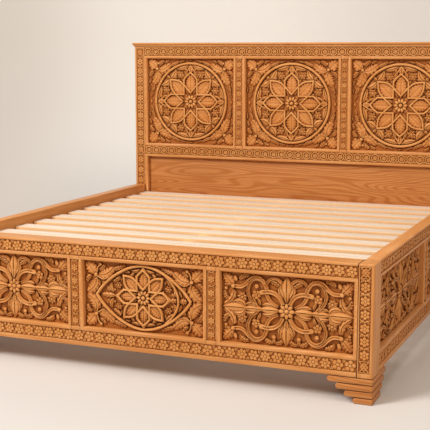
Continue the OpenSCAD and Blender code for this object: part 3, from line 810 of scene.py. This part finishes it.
def stud(work, centre, width, height, rise):
    # A small four-sided pyramid with its corners on the axes
    part = bmesh.new()
    bmesh.ops.create_cone(part, cap_ends=True, segments=4, radius1=1.0, radius2=0.12, depth=1.0)
    place = spotMatrix(centre, 0, (width / 2, height / 2, rise), rise / 2)
    bmesh.ops.transform(part, matrix=place, verts=part.verts[:])
    work.append(solid(part))


# Forms of a carving are listed in millimetres. One point makes a bead, two a straight leaf and
# three a bent one. After its points come its width, its share of the look's height, and its
# lobes and fullness where it has them. A stem has more points, and ends with its taper.
mm = 0.001
quarters = ((-1, -1), (-1, 1), (1, -1), (1, 1))


def placed(form, at):
    # The points of a form, which at puts in their places, and the values that follow them
    points = [at(*part) for part in form if isinstance(part, tuple)]
    return points, form[len(points):]


def carveForms(work, forms, at, rise, unit=mm):
    for form in forms:
        points, (width, share, *edge) = placed(form, at)
        cut = (bead, straightLeaf, leaf)[len(points) - 1]
        cut(work, *points, width * unit, rise * share, *edge)


def carveStems(work, stems, at, rise, profile=roundStrap):
    for stem in stems:
        points, (width, share, *taper) = placed(stem, at)
        strap(work, flow(points), width * mm, rise * share, profile, taper=taper)


def inQuarter(corner, drawn=1.0):
    # Places by their distance from the panel's middle
    return lambda x, y: Vector((corner[0] * x * drawn, corner[1] * y)) * mm


def fromCorner(corner, width, height):
    # Places by their distance in from one corner of the panel
    tip = Vector((corner[0] * width / 2, corner[1] * height / 2))
    return lambda x, y: tip - Vector((corner[0] * x, corner[1] * y)) * mm


# Star that the headboard panels and the footboard's middle panel share
starLook = {
    # Shares of the star's reach, for half of one petal of each kind
    "upright": ((0.243, 0.243), (0.243, 0.76), (0.15, 0.875), (0.05, 0.96)),
    "crossed": (
        (0.0, 0.307), (-0.12, 0.43), (-0.245, 0.57), (-0.37, 0.675), (-0.49, 0.725),
        (-0.62, 0.742),
    ),
    "corner": 0.75,
    "leafRise": 0.0110,
    "strapRise": (0.0165, 0.0178),
    "flowerRise": 0.0175,
    "tip": {"half": 0.14, "depth": 0.2, "width": 0.75, "share": 1.05},
    "forms": (
        ((0, 0.27), (0, 0.96), 0.46, 1, 6, 0.7, fineNotch),
        ((0.22, 0.22), (0.73, 0.73), 0.56, 1, 6, 0.7, fineNotch),
        ((-0.07, 0.26), (-0.2, 0.49), 0.13, 0.8),
        ((0.07, 0.26), (0.2, 0.49), 0.13, 0.8),
        ((0.13, 0.13), (0.24, 0.24), 0.13, 0.8),
    ),
}


def star(work, reach, strapWidth, flower, tip):
    # tip is the share of the reach where the outer point of an upright petal ends
    look = starLook
    rise = look["leafRise"]
    arrow = look["tip"]
    upright, crossed = [], []
    for k in range(4):
        turn = Matrix.Rotation(math.radians(90 * k), 2)

        def spot(x, y):
            return turn @ Vector((x, y)) * reach
        half = look["upright"]
        upright += [spot(x, y) for x, y in half] + [spot(0, 1)]
        upright += [spot(-x, y) for x, y in reversed(half[1:])]
        half = look["crossed"]
        crossed += [spot(x, y) for x, y in half] + [spot(-look["corner"], look["corner"])]
        crossed += [spot(-y, -x) for x, y in reversed(half[1:])]
        carveForms(work, look["forms"], spot, rise, reach)
        foot = tip - arrow["depth"]
        line = [spot(-arrow["half"], foot), spot(0, tip), spot(arrow["half"], foot)]
        strap(work, line, strapWidth * arrow["width"], rise * arrow["share"])
    strap(work, upright, strapWidth, look["strapRise"][0], closed=True)
    strap(work, crossed, strapWidth, look["strapRise"][1], closed=True)
    blossom(work, Vector((0, 0)), flower, 10, look["flowerRise"], 0, fineDome)


# Headboard panels: a ring round the star, with leaves between and vines in the corners
medallionLook = {
    "ring": 0.507,  # outer diameter
    "ringWidth": 0.015,
    "ringRise": 0.0175,
    "ringSteps": 96,
    "starReach": 0.187,
    "starStrap": 0.0120,
    "starTip": 1.235,
    "flower": 0.043,
    "leafRise": 0.0122,
    # Between star and ring: shares of the ring's radius and degrees from the nearest tip
    "between": (
        ((0.955, 2.5), (0.88, 14.5), (0.95, 26), 0.125, 1),
        ((0.84, 44.5), (0.79, 33), (0.96, 26.5), 0.15, 1.12),
        ((0.9, 43.5), (0.885, 37), (0.945, 31), 0.06, 0.85),
        ((0.655, 14), (0.84, 6.5), 0.085, 0.95),
        ((0.77, 39), (0.745, 30), 0.075, 0.9),
        ((0.55, 22.5), (0.655, 19.5), 0.085, 0.85),
        ((0.63, 28), (0.71, 33), 0.05, 0.85),
        ((0.855, 9), 0.03, 0.8),
        ((0.845, 25.5), 0.026, 0.8),
        ((0.68, 16.5), 0.024, 0.8),
    ),
    "daisy": {"at": (0.755, 22.5), "radius": 0.115, "petals": 6},
    "tips": (
        ((0.72, 0), (0.975, 0), 0.2, 0.95, 2),
        ((0.835, 45), (0.97, 45), 0.085, 1),
    ),
    "corner": (
        ((66, 66), (6, 8), 84, 1, 3, 0.7),
        ((70, 68), (112, 92), (166, 26), 72, 1, 4, 0.65),
        ((66, 72), (86, 122), (28, 170), 74, 1, 4, 0.65),
        ((82, 52), (84, 22), (122, 10), 36, 0.95, 3, 0.6),
        ((120, 36), (128, 12), (160, 9), 26, 0.9, 2, 0.6),
        ((152, 42), (192, 44), (226, 12), 32, 0.95, 4, 0.6),
        ((212, 24), (238, 24), (268, 9), 20, 0.9, 3, 0.6),
        ((48, 82), (18, 84), (10, 122), 34, 0.95, 3, 0.6),
        ((26, 126), (8, 138), (9, 166), 22, 0.9, 2, 0.6),
        ((36, 160), (44, 190), (20, 216), 32, 0.95, 4, 0.6),
        ((12, 170), (2, 192), (10, 214), 16, 0.9, 2, 0.6),
        ((26, 206), (36, 226), (16, 250), 22, 0.9, 3, 0.6),
        ((90, 92), (108, 104), 18, 0.8),
        ((74, 30), 8, 1),
        ((30, 66), 8, 1),
        ((66, 66), 10.5, 1.35),
    ),
    "stems": (
        ((72, 76), (108, 86), (142, 66), 7, 1.15, 1, 0.6),
        ((70, 80), (76, 114), (56, 150), 7, 1.15, 1, 0.6),
    ),
    "sideStud": {"in": 0.021, "width": 0.028, "height": 0.052},
    "topStud": {"in": 0.011, "width": 0.056, "height": 0.017},
}


def medallion(work, width, height):
    look = medallionLook
    ring = (look["ring"] - look["ringWidth"]) / 2
    rise = look["leafRise"]
    steps = look["ringSteps"]
    circle = [polar(ring, 360 * k / steps) for k in range(steps)]
    strap(work, circle, look["ringWidth"], look["ringRise"], closed=True)
    star(work, look["starReach"], look["starStrap"], look["flower"], look["starTip"])
    for k in range(4):
        for side in (-1, 1):
            def spot(share, degrees):
                return polar(ring * share, 90 * k + side * degrees)
            carveForms(work, look["between"], spot, rise, ring)
            form = look["daisy"]
            daisy(work, spot(*form["at"]), form["radius"] * ring, form["petals"], rise, k + side)
        carveForms(work, look["tips"], spot, rise, ring)
    for corner in quarters:
        at = fromCorner(corner, width, height)
        carveForms(work, look["corner"], at, rise)
        carveStems(work, look["stems"], at, rise)
    for side in (-1, 1):
        beside, above = look["sideStud"], look["topStud"]
        middle = Vector((side * (width / 2 - beside["in"]), 0))
        stud(work, middle, beside["width"], beside["height"], rise)
        middle = Vector((0, side * (height / 2 - above["in"])))
        stud(work, middle, above["width"], above["height"], rise)


# Footboard, middle panel: the star in a pointed oval that has an inner arc at one end
ovalLook = {
    "line": (
        (238, 0), (224, 19.5), (208, 40), (183.5, 64), (154, 88), (124, 108), (95, 124),
        (66, 136.5), (36, 144.5),
    ),
    "top": (0, 148.5),
    "width": 0.0130,
    "lineRise": 0.0170,
    "arc": (
        (112, 112), (140, 86), (160, 54), (174, 18), (174, -20), (161, -54), (140, -84),
        (112, -110),
    ),
    "arcWidth": 0.011,
    "arcRise": 0.0150,
    "starReach": 0.1290,
    "starStrap": 0.0110,
    "starTip": 1.085,
    "flower": 0.035,
    "leafRise": 0.0122,
    "forms": (
        ((14, 134), (32, 116), (60, 124), 18, 1),
        ((60, 86), (60, 106), (42, 116), 16, 1),
        ((66, 108), (72, 122), (96, 108), 18, 1, 2),
        ((112, 100), (126, 76), (158, 62), 26, 1, 2),
        ((110, 66), (112, 88), 12, 0.9),
        ((146, 28), 6, 0.8),
        ((100, 36), 5, 0.8),
        ((38, 98), 5, 0.8),
    ),
    # Place, radius, petals and height of its daisies
    "smallDaisy": ((60, 99), 0.012, 5, 0.9),
    "daisy": ((126, 50), 0.019, 6, 1),
    "left": (
        ((150, 12), (176, 40), (158, 60), 22, 1),
        ((172, 14), (184, 44), 18, 0.9),
    ),
    "right": (
        ((150, 16), (170, 34), (160, 60), 20, 1),
        ((192, 14), (176, 56), 14, 0.9),
    ),
    "axis": (
        ((-136, 0), (-218, 0), 36, 1, 3),
        ((130, 0), (170, 0), 36, 0.95, 2),
        ((178, 0), (222, 0), 40, 1, 2),
    ),
    "corner": (
        ((61, 66), (7, 8), 72, 1, 3, 0.7),
        ((66, 64), (112, 84), (156, 22), 68, 1, 4, 0.65),
        ((142, 36), (176, 34), (218, 11), 32, 0.95, 4, 0.65),
        ((60, 74), (74, 128), (6, 156), 68, 1, 4, 0.65),
        ((84, 18), 8.5, 1.1),
        ((42, 76), (14, 72), (10, 112), 32, 0.95, 3, 0.6),
        ((72, 44), (94, 44), (108, 14), 26, 0.9, 2, 0.6),
        ((94, 94), (108, 116), 22, 0.85),
        ((61, 66), 9.5, 1.4),
    ),
    "stems": (
        ((66, 72), (100, 86), (136, 70), 7, 1.2, 1, 0.6),
        ((64, 78), (70, 110), (50, 138), 7, 1.2, 1, 0.6),
        ((64, 58), (70, 34), (82, 20), 8, 1, 1, 0.8),
    ),
}


def ovalCarving(work, width, height):
    look = ovalLook
    rise = look["leafRise"]
    around = [*look["line"], look["top"], *[(-x, y) for x, y in reversed(look["line"])]]
    for side in (-1, 1):
        at = inQuarter((1, side))
        strap(work, flow([at(x, y) for x, y in around]), look["width"], look["lineRise"])
    whole = inQuarter((1, 1))
    arc = flow([whole(x, y) for x, y in look["arc"]])
    strap(work, arc, look["arcWidth"], look["arcRise"])
    star(work, look["starReach"], look["starStrap"], look["flower"], look["starTip"])
    for corner in quarters:
        spot = inQuarter(corner)
        carveForms(work, look["forms"], spot, rise)
        carveForms(work, look["left" if corner[0] < 0 else "right"], spot, rise)
        for name, turn in (("smallDaisy", corner[0]), ("daisy", sum(corner))):
            middle, radius, petals, share = look[name]
            daisy(work, spot(*middle), radius, petals, rise * share, turn)
        at = fromCorner(corner, width, height)
        carveForms(work, look["corner"], at, rise)
        carveStems(work, look["stems"], at, rise)
    carveForms(work, look["axis"], whole, rise)


# Other low panels: an open flower with loops, C-scrolls and S-scrolls round it
lilyLook = {
    "flower": 0.038,
    "flowerRise": 0.0170,
    "leafRise": 0.0115,
    "strapRise": 0.0165,
    # Crescent, arch, wave and loop
    "scrolls": (
        ((38, 18), (60, 29), (80, 46), (92, 72), 21.5, 0.85, 0.5, 1),
        ((138, 14), (164, 38), (178, 76), (170, 114), (144, 135), (114, 130), (96, 106), (88, 80),
         19.5, 1, 0.7, 1),
        ((116, 134), (142, 140), (167, 129), (188, 108), (212, 94), (247, 95), 21, 0.92, 1, 0.8),
        ((15, 30), (30, 57), (54, 75), (84, 81), (115, 76), 21, 1.05, 0.9, 1),
    ),
    "hook": (
        ((96, 100), (88, 124), (68, 140), (43, 140), (24, 124), 16.5, 0.85, 0.8, 1),
    ),
    "upper": (
        ((80, 128), (56, 130), (30, 104), 34, 1.1, 3, 0.6),
    ),
    "lower": (
        ((56, 142), (80, 152), (102, 124), 30, 1.1, 3, 0.6),
        ((56, 142), (34, 154), (14, 128), 30, 1.1, 3, 0.6),
        ((57, 118), 10, 1.1),
        ((57, 150), (57, 122), 18, 1),
    ),
    "forms": (
        # Sprig inside the arch
        ((138, 102), 10.5, 1.1),
        ((122, 14), (122, 34), (138, 52), 16, 0.95),
        ((134, 18), (158, 36), (160, 66), 20, 0.95, 2),
        # Towards the corner
        ((222, 118), (204, 156), (168, 142), 32, 1.1, 3, 0.6),
        ((242, 92), (298, 153), 60, 1.05, 4, 0.85),
        ((256, 104), (252, 143), 22, 0.9, 2, 0.6),
        ((256, 98), (294, 98), 22, 0.9, 2, 0.6),
        ((248, 90), (230, 38), (300, 4), 38, 1.15, 3, 0.6),
        ((258, 36), (290, 34), (290, 78), 32, 1.1, 4, 0.65),
        ((282, 83), 8.5, 1),
        ((247, 95), 10, 1.6),
        # Side lobes of the upright and level leaves
        ((6, 56), (36, 72), (32, 112), 28, 1.1, 0, 0.7),
        ((4, 78), (32, 98), (20, 132), 20, 1.05, 0, 0.7),
        ((44, 6), (74, 34), (114, 18), 26, 1.05, 0, 0.6),
        ((128, 3), (150, 34), (192, 16), 26, 1.05, 0, 0.65),
        ((190, 3), (206, 44), (252, 20), 30, 1.05, 0, 0.65),
    ),
    "level": (
        ((182, 0), (302, 0), 46, 1.15, 0, 0.8),
        ((34, 0), (126, 0), 42, 1.2, 0, 0.8),
        ((108, 0), (202, 0), 36, 1.15, 0, 0.8),
    ),
    "upright": (
        ((0, 36), (0, 90), 26, 1.4),
        ((0, 56), (0, 156), 52, 1.2, 0, 0.9),
    ),
    "spare": (
        (24, 84), (72, 60), (100, 50), (118, 92), (172, 56), (186, 80), (226, 68), (232, 112),
        (274, 52), (152, 98), (52, 112), (196, 124),
    ),
}


def lilyCarving(work, width, height, drawn=1.0):
    # drawn is how far the design is drawn out sideways to fill a longer panel
    look = lilyLook
    rise = look["leafRise"]
    high = look["strapRise"]
    spare = [((x - 6, y - 9), (x + 6, y + 10), 19, 0.9) for x, y in look["spare"]]
    blossom(work, Vector((0, 0)), look["flower"], 8, look["flowerRise"], 0, fineDome)
    for corner in quarters:
        spot = inQuarter(corner, drawn)
        carveStems(work, look["scrolls"], spot, high, ribbedStrap)
        bead(work, spot(115, 76), 0.0115, high * 1.05)
        if corner[1] > 0:
            carveStems(work, look["hook"], spot, high, ribbedStrap)
        carveForms(work, look["upper" if corner[1] > 0 else "lower"], spot, rise)
        carveForms(work, look["forms"], spot, rise)
        blossom(work, spot(140, 64), 0.0215, 5, rise * 1.1, 0.3 * corner[0])
        daisy(work, spot(205, 48), 0.0255, 7, rise * 1.1, 0.3)
        stamp(work, dome, spotMatrix(spot(237, 130), 0.3, (0.009, 0.015, rise)))
        if drawn > 1:
            carveForms(work, spare, spot, rise)
    for side in (-1, 1):
        carveForms(work, look["level"], inQuarter((side, 1), drawn), rise)
        carveForms(work, look["upright"], inQuarter((1, side)), rise)


# Axis along each carved face of the bed, and the sign of the way out of it
faces = {"front": (0, -1), "right": (1, 1), "left": (1, -1)}


def standing(side, centre, ground):
    # Turns flat work to face outwards on one side of the bed; centre is (along, height)
    axis, sign = faces[side]
    origin, out, up = Vector((0, 0, centre[1])), Vector((0, 0, 0)), Vector((0, 0, 1))
    origin[axis], origin[1 - axis] = centre[0], ground
    out[1 - axis] = sign
    turn = Matrix((up.cross(out), up, out)).transposed()
    return Matrix.Translation(origin) @ turn.to_4x4()


def flatWork(carve, *sizes, board, full=carvingLook["full"]):
    # Carves flat work and keeps it as a mesh, so that equal panels share the labour.
    # sizes are its width, its height and what else carve takes; board is the width, height,
    # thickness and depth of painted shade of the board under it.
    shapes = []
    carve(shapes, *sizes)
    carving = gathered(shapes)
    width, height, thick, ground = board
    work = bmesh.new()
    work.from_mesh(carving)
    bpy.data.meshes.remove(carving)
    relief = work.verts.layers.float.new("relief")
    least = carvingLook["least"]
    # The relief height sets the painted shade: darkest at the ground, none at full height
    for v in work.verts:
        v[relief] = 0 if v.co.z <= 0 else min(1, least + (1 - least) * v.co.z / full)
    size = Matrix.Diagonal((width, height, thick, 1))
    under = Matrix.Translation((0, 0, -thick / 2))
    # The board's face takes the ground's painted shade
    for v in bmesh.ops.create_cube(work, size=1.0, matrix=under @ size)["verts"]:
        v[relief] = ground if v.co.z > -thick / 2 else 1
    mesh = asMesh(work, carve.__name__)
    mesh.shade_smooth()
    mesh.set_sharp_from_angle(angle=carvingLook["smooth"])
    return mesh


def carvedPiece(name, flat, side, centre, ground, woods, nodes=()):
    # Flat work stood up at its place
    mesh = flat.copy()
    mesh.transform(standing(side, centre, ground))
    mesh.materials.append(woods["XY"[faces[side][0]]])
    piece = addObject(name, mesh)
    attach(piece, "root")
    if nodes:
        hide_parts(*nodes)
    print(name, len(mesh.polygons), "faces")


frameWork = {
    "tongue": 0.009,  # edge of a panel board in its grooves
    "moulding": 0.018,
    "board": 0.022,
    "tenon": 0.020,  # length of a muntin that is hidden in a rail
    "drawn": 1.519,  # a side panel's carving against a front panel's
    # Painted shade on each panel's ground, between 0 dark and 1 pale
    "grounds": {"medallion": 0.44, "oval": 0.42, "lily": 0.48, "side": 0.34},
}


def carvePanel(node, flat, side):
    low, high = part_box(node)
    axis, sign = faces[side]
    centre = (low + high) / 2
    # The board's back is the side of the node's box that looks into the bed
    back = (high if sign < 0 else low)[1 - axis]
    ground = back + sign * frameWork["board"]
    carvedPiece(node + "_carved", flat, side, (centre[axis], centre.z), ground, carvedOak, [node])


def panelFlat(carve, node, side, ground, *more):
    # The carving of a node's panel on its board, whose edges the mouldings hide
    low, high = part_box(node)
    size = high - low
    width, height = size[faces[side][0]], size.z
    edge = 2 * (frameWork["tongue"] + frameWork["moulding"])
    board = (width, height, frameWork["board"], ground)
    return flatWork(carve, width - edge, height - edge, *more, board=board)


grounds = frameWork["grounds"]
medallionFlat = panelFlat(medallion, headPanels[1], "front", grounds["medallion"])
for node in headPanels:
    carvePanel(node, medallionFlat, "front")
leftPanel, middlePanel, rightPanel = footPanels
ovalFlat = panelFlat(ovalCarving, middlePanel, "front", grounds["oval"])
carvePanel(middlePanel, ovalFlat, "front")
lilyFlat = panelFlat(lilyCarving, leftPanel, "front", grounds["lily"])
for node in (leftPanel, rightPanel):
    carvePanel(node, lilyFlat, "front")
drawn = frameWork["drawn"]
longFlat = panelFlat(lilyCarving, "right_side_foot_panel", "right", grounds["side"], drawn)
for node in sidePanels:
    carvePanel(node, longFlat, node.split("_")[0])
print("carved panels ready")


# Flower bands and leaf chains, sunk between the plain edges of the frame members
bandLook = {
    "sink": 0.007,
    "bed": 0.0005,  # thin sheet that the flowers stand on, which carries painted shade
    "over": 0.0001,  # space between that layer and the sunk ground
    "ground": 0.52,  # depth of the painted shade on that layer, between 0 dark and 1 pale
    "height": 0.053,
    "pitch": 0.0545,
    "flower": 0.0268,
    "rise": 0.0062,
    "edge": 0.0010,  # space kept free beside the plain edges
    "postWidth": 0.049,
    "postIn": 0.007,  # plain margin between a post's band and the opening
    "muntinWidth": 0.036,
    "chain": 0.0590,  # repeat of the upright leaf chains
    "middles": {  # middle heights of the level bands
        "footboard": {"top": 0.5695, "bottom": 0.1625},
        "headboard": {"top": 1.4785, "middle": 0.8365},
    },
    "posts": {"footboard": (0.136, 0.596), "headboard": (0.606, 1.502)},  # ends of their bands
}
flowerLook = {
    "petals": (5, 6, 6, 6, 7),
    "size": (0.95, 1.0),
    "stray": 0.0006,
    "lean": 0.3,
    "ring": {"points": 12, "radius": 0.86, "width": 0.25, "flower": 0.60},
    "leafIn": 0.002,  # how far in from the band's edge its leaves start
    "firstIn": 0.004,
    "leaf": 0.0155,
    "leafRise": 0.75,
    "smallLeaf": 0.0105,
    "smallRise": 0.7,
    "smallWay": (0.9, 0.45),
}
# Shares of half the chain's width, across, and of its repeat, upwards
chainLook = {
    "sides": (
        ((0.10, 0.84), (0.42, 0.90), (0.94, 0.985), 0.56, 0.9),
        ((0.52, 0.86), (0.96, 0.74), 0.40, 0.8),
        ((0.88, 0.07), 0.13, 0.8),
        ((0.30, 0.98), 0.12, 0.8),
    ),
    "middle": (((0, 0.88), 0.20, 1),),
    "flower": {"at": (0, 0.41), "across": 0.98, "upwards": 0.40, "petals": 6, "turn": 30},
}
crossLook = {
    "in": 0.003,  # ends of the crossed straps, from the square's corners
    "cross": 0.0050,
    "edgeIn": 0.0025,
    "endIn": 0.001,
    "edge": 0.0036,
    "leafStart": 0.004,
    "leafIn": 0.005,
    "leaf": 0.44,
    "leafRise": 0.75,
    "full": 0.5,
}


def budLeaf(work, corner, out, size, rise):
    # Small three-cornered leaf that fills a gap beside the flowers
    straightLeaf(work, corner, corner + out * size, size * 0.95, rise)


def flowerBand(work, length, height, seed, ringed=False):
    # A row of flowers with leaves between; in a ringed band a narrow ring holds each flower
    look = flowerLook
    chance = random.Random(seed)
    rise = bandLook["rise"]
    count = round(length / bandLook["pitch"])
    pitch = length / count
    for i in range(count):
        u = -length / 2 + (i + 0.5) * pitch
        petals = chance.choice(look["petals"])
        size = bandLook["flower"] * chance.uniform(*look["size"])
        centre = Vector((u, chance.uniform(-look["stray"], look["stray"])))
        if ringed:
            form = look["ring"]
            points = form["points"]
            ring = [centre + polar(size * form["radius"], 360 * k / points) for k in range(points)]
            strap(work, ring, size * form["width"], rise, closed=True)
            size *= form["flower"]
        blossom(work, centre, size, petals, rise, chance.uniform(0, 1))
        for side in (-1, 1):
            start = u - pitch / 2 if i else u - pitch / 2 + look["firstIn"]
            middle = Vector((start, side * (height / 2 - look["leafIn"])))
            lean = Vector((chance.uniform(-look["lean"], look["lean"]), -side)).normalized()
            budLeaf(work, middle, lean, look["leaf"], rise * look["leafRise"])
            along, down = look["smallWay"]
            for way in (1, -1) if i else (1,):
                out = Vector((way * along, -side * down)).normalized()
                budLeaf(work, middle, out, look["smallLeaf"], rise * look["smallRise"])


def leafChain(work, width, low, high):
    look = chainLook
    rise = bandLook["rise"]
    count = round((high - low) / bandLook["chain"])
    pitch = (high - low) / count
    reach = width / 2
    flower = look["flower"]
    radius = min(reach * flower["across"], pitch * flower["upwards"])
    turn = math.radians(flower["turn"])
    for i in range(count):
        for side in (-1, 1):
            def at(x, y):
                return Vector((side * x * reach, low + (i + y) * pitch))
            carveForms(work, look["sides"], at, rise, reach)
        carveForms(work, look["middle"], at, rise, reach)
        blossom(work, at(*flower["at"]), radius, flower["petals"], rise, turn)


def crossSquare(work, middle, width, height):
    # A square with crossed straps and a small leaf in each quarter
    look = crossLook
    rise = bandLook["rise"]
    centre = Vector((0, middle))
    for side in (-1, 1):
        reach = Vector((width / 2 - look["in"], side * (height / 2 - look["in"])))
        strap(work, [centre - reach, centre, centre + reach], look["cross"], rise)
        edge = centre + Vector((0, side * (height / 2 - look["edgeIn"])))
        end = Vector((width / 2 - look["endIn"], 0))
        strap(work, [edge - end, edge + end], look["edge"], rise)
        for out, far in ((Vector((side, 0)), width / 2), (Vector((0, side)), height / 2)):
            start, end = centre + out * look["leafStart"], centre + out * (far - look["leafIn"])
            leafRise = rise * look["leafRise"]
            straightLeaf(work, start, end, width * look["leaf"], leafRise, 0, look["full"])


def postBand(work, width, height, squares, stretches):
    # squares and stretches give places along the band, from its middle
    for middle in squares:
        crossSquare(work, middle, width, bandLook["height"])
    for low, high in stretches:
        leafChain(work, width, low, high)


def addBand(name, carve, side, centre, face, size, *more):
    # face is the plain face of the member; the band's bed, a thin sheet of painted shade, lies just
    # above its sunk ground
    look = bandLook
    width, height = (length - 2 * look["edge"] for length in size)
    board = (width, height, look["bed"], look["ground"])
    flat = flatWork(carve, width, height, *more, board=board, full=look["rise"])
    ground = face - faces[side][1] * (look["sink"] - look["bed"] - look["over"])
    carvedPiece(name + "_band", flat, side, centre, ground, bandOak)
    bpy.data.meshes.remove(flat)


def levelBands(name, side, face, ends, middles, seed, ringed=False):
    # Flower bands along the rails; middles holds each band's name and middle height
    low, high = ends
    for place, level in middles.items():
        centre, size = ((low + high) / 2, level), (high - low, bandLook["height"])
        addBand(f"{name}_{place}", flowerBand, side, centre, face, size, seed, ringed)
        seed += 1


def muntinBand(name, node, side, face):
    # A leaf chain on a muntin, between the mouldings at its ends
    low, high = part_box(node)
    centre = (low + high) / 2
    length = high.z - low.z - 2 * (frameWork["tenon"] + frameWork["moulding"])
    reach = length / 2 - bandLook["edge"]
    place = (centre[faces[side][0]], centre.z)
    size = (bandLook["muntinWidth"], length)
    addBand(name + "_muntin", postBand, side, place, face, size, [], [(-reach, reach)])


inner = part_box("footboard_post_right")[0].x  # where the openings end and the post starts
postMiddle = inner + bandLook["postIn"] + bandLook["postWidth"] / 2
half = bandLook["height"] / 2
for prefix, middles in bandLook["middles"].items():
    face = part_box(prefix + "_top_rail")[0].y
    levelBands(prefix, "front", face, (-inner, inner), middles, 3, prefix == "headboard")
    low, high = bandLook["posts"][prefix]
    middle, reach = (low + high) / 2, (high - low) / 2
    upper = reach - half - bandLook["edge"]
    lower = -upper if prefix == "footboard" else middles["middle"] - middle
    stretches = [(lower + half, upper - half)]
    if prefix == "headboard":
        stretches.append((-reach, lower - half))
    for hand, sign in zip(hands, (-1, 1)):
        size = (bandLook["postWidth"], high - low)
        addBand(f"{prefix}_{hand}_post", postBand, "front", (sign * postMiddle, middle), face,
                size, (upper, lower), stretches)
    for hand in hands:
        muntinBand(f"{prefix}_{hand}", f"{prefix}_muntin_{hand}", "front", face)

ends = (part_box("right_side_foot_stile")[1].y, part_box("right_side_head_stile")[0].y)
for hand, sign in zip(hands, (-1, 1)):
    face = sign * max(abs(c.x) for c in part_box(hand + "_side_top_rail"))
    levelBands(hand + "_side", hand, face, ends, bandLook["middles"]["footboard"], 11)
    muntinBand(hand + "_side", hand + "_side_muntin", hand, face)
print("bands ready")
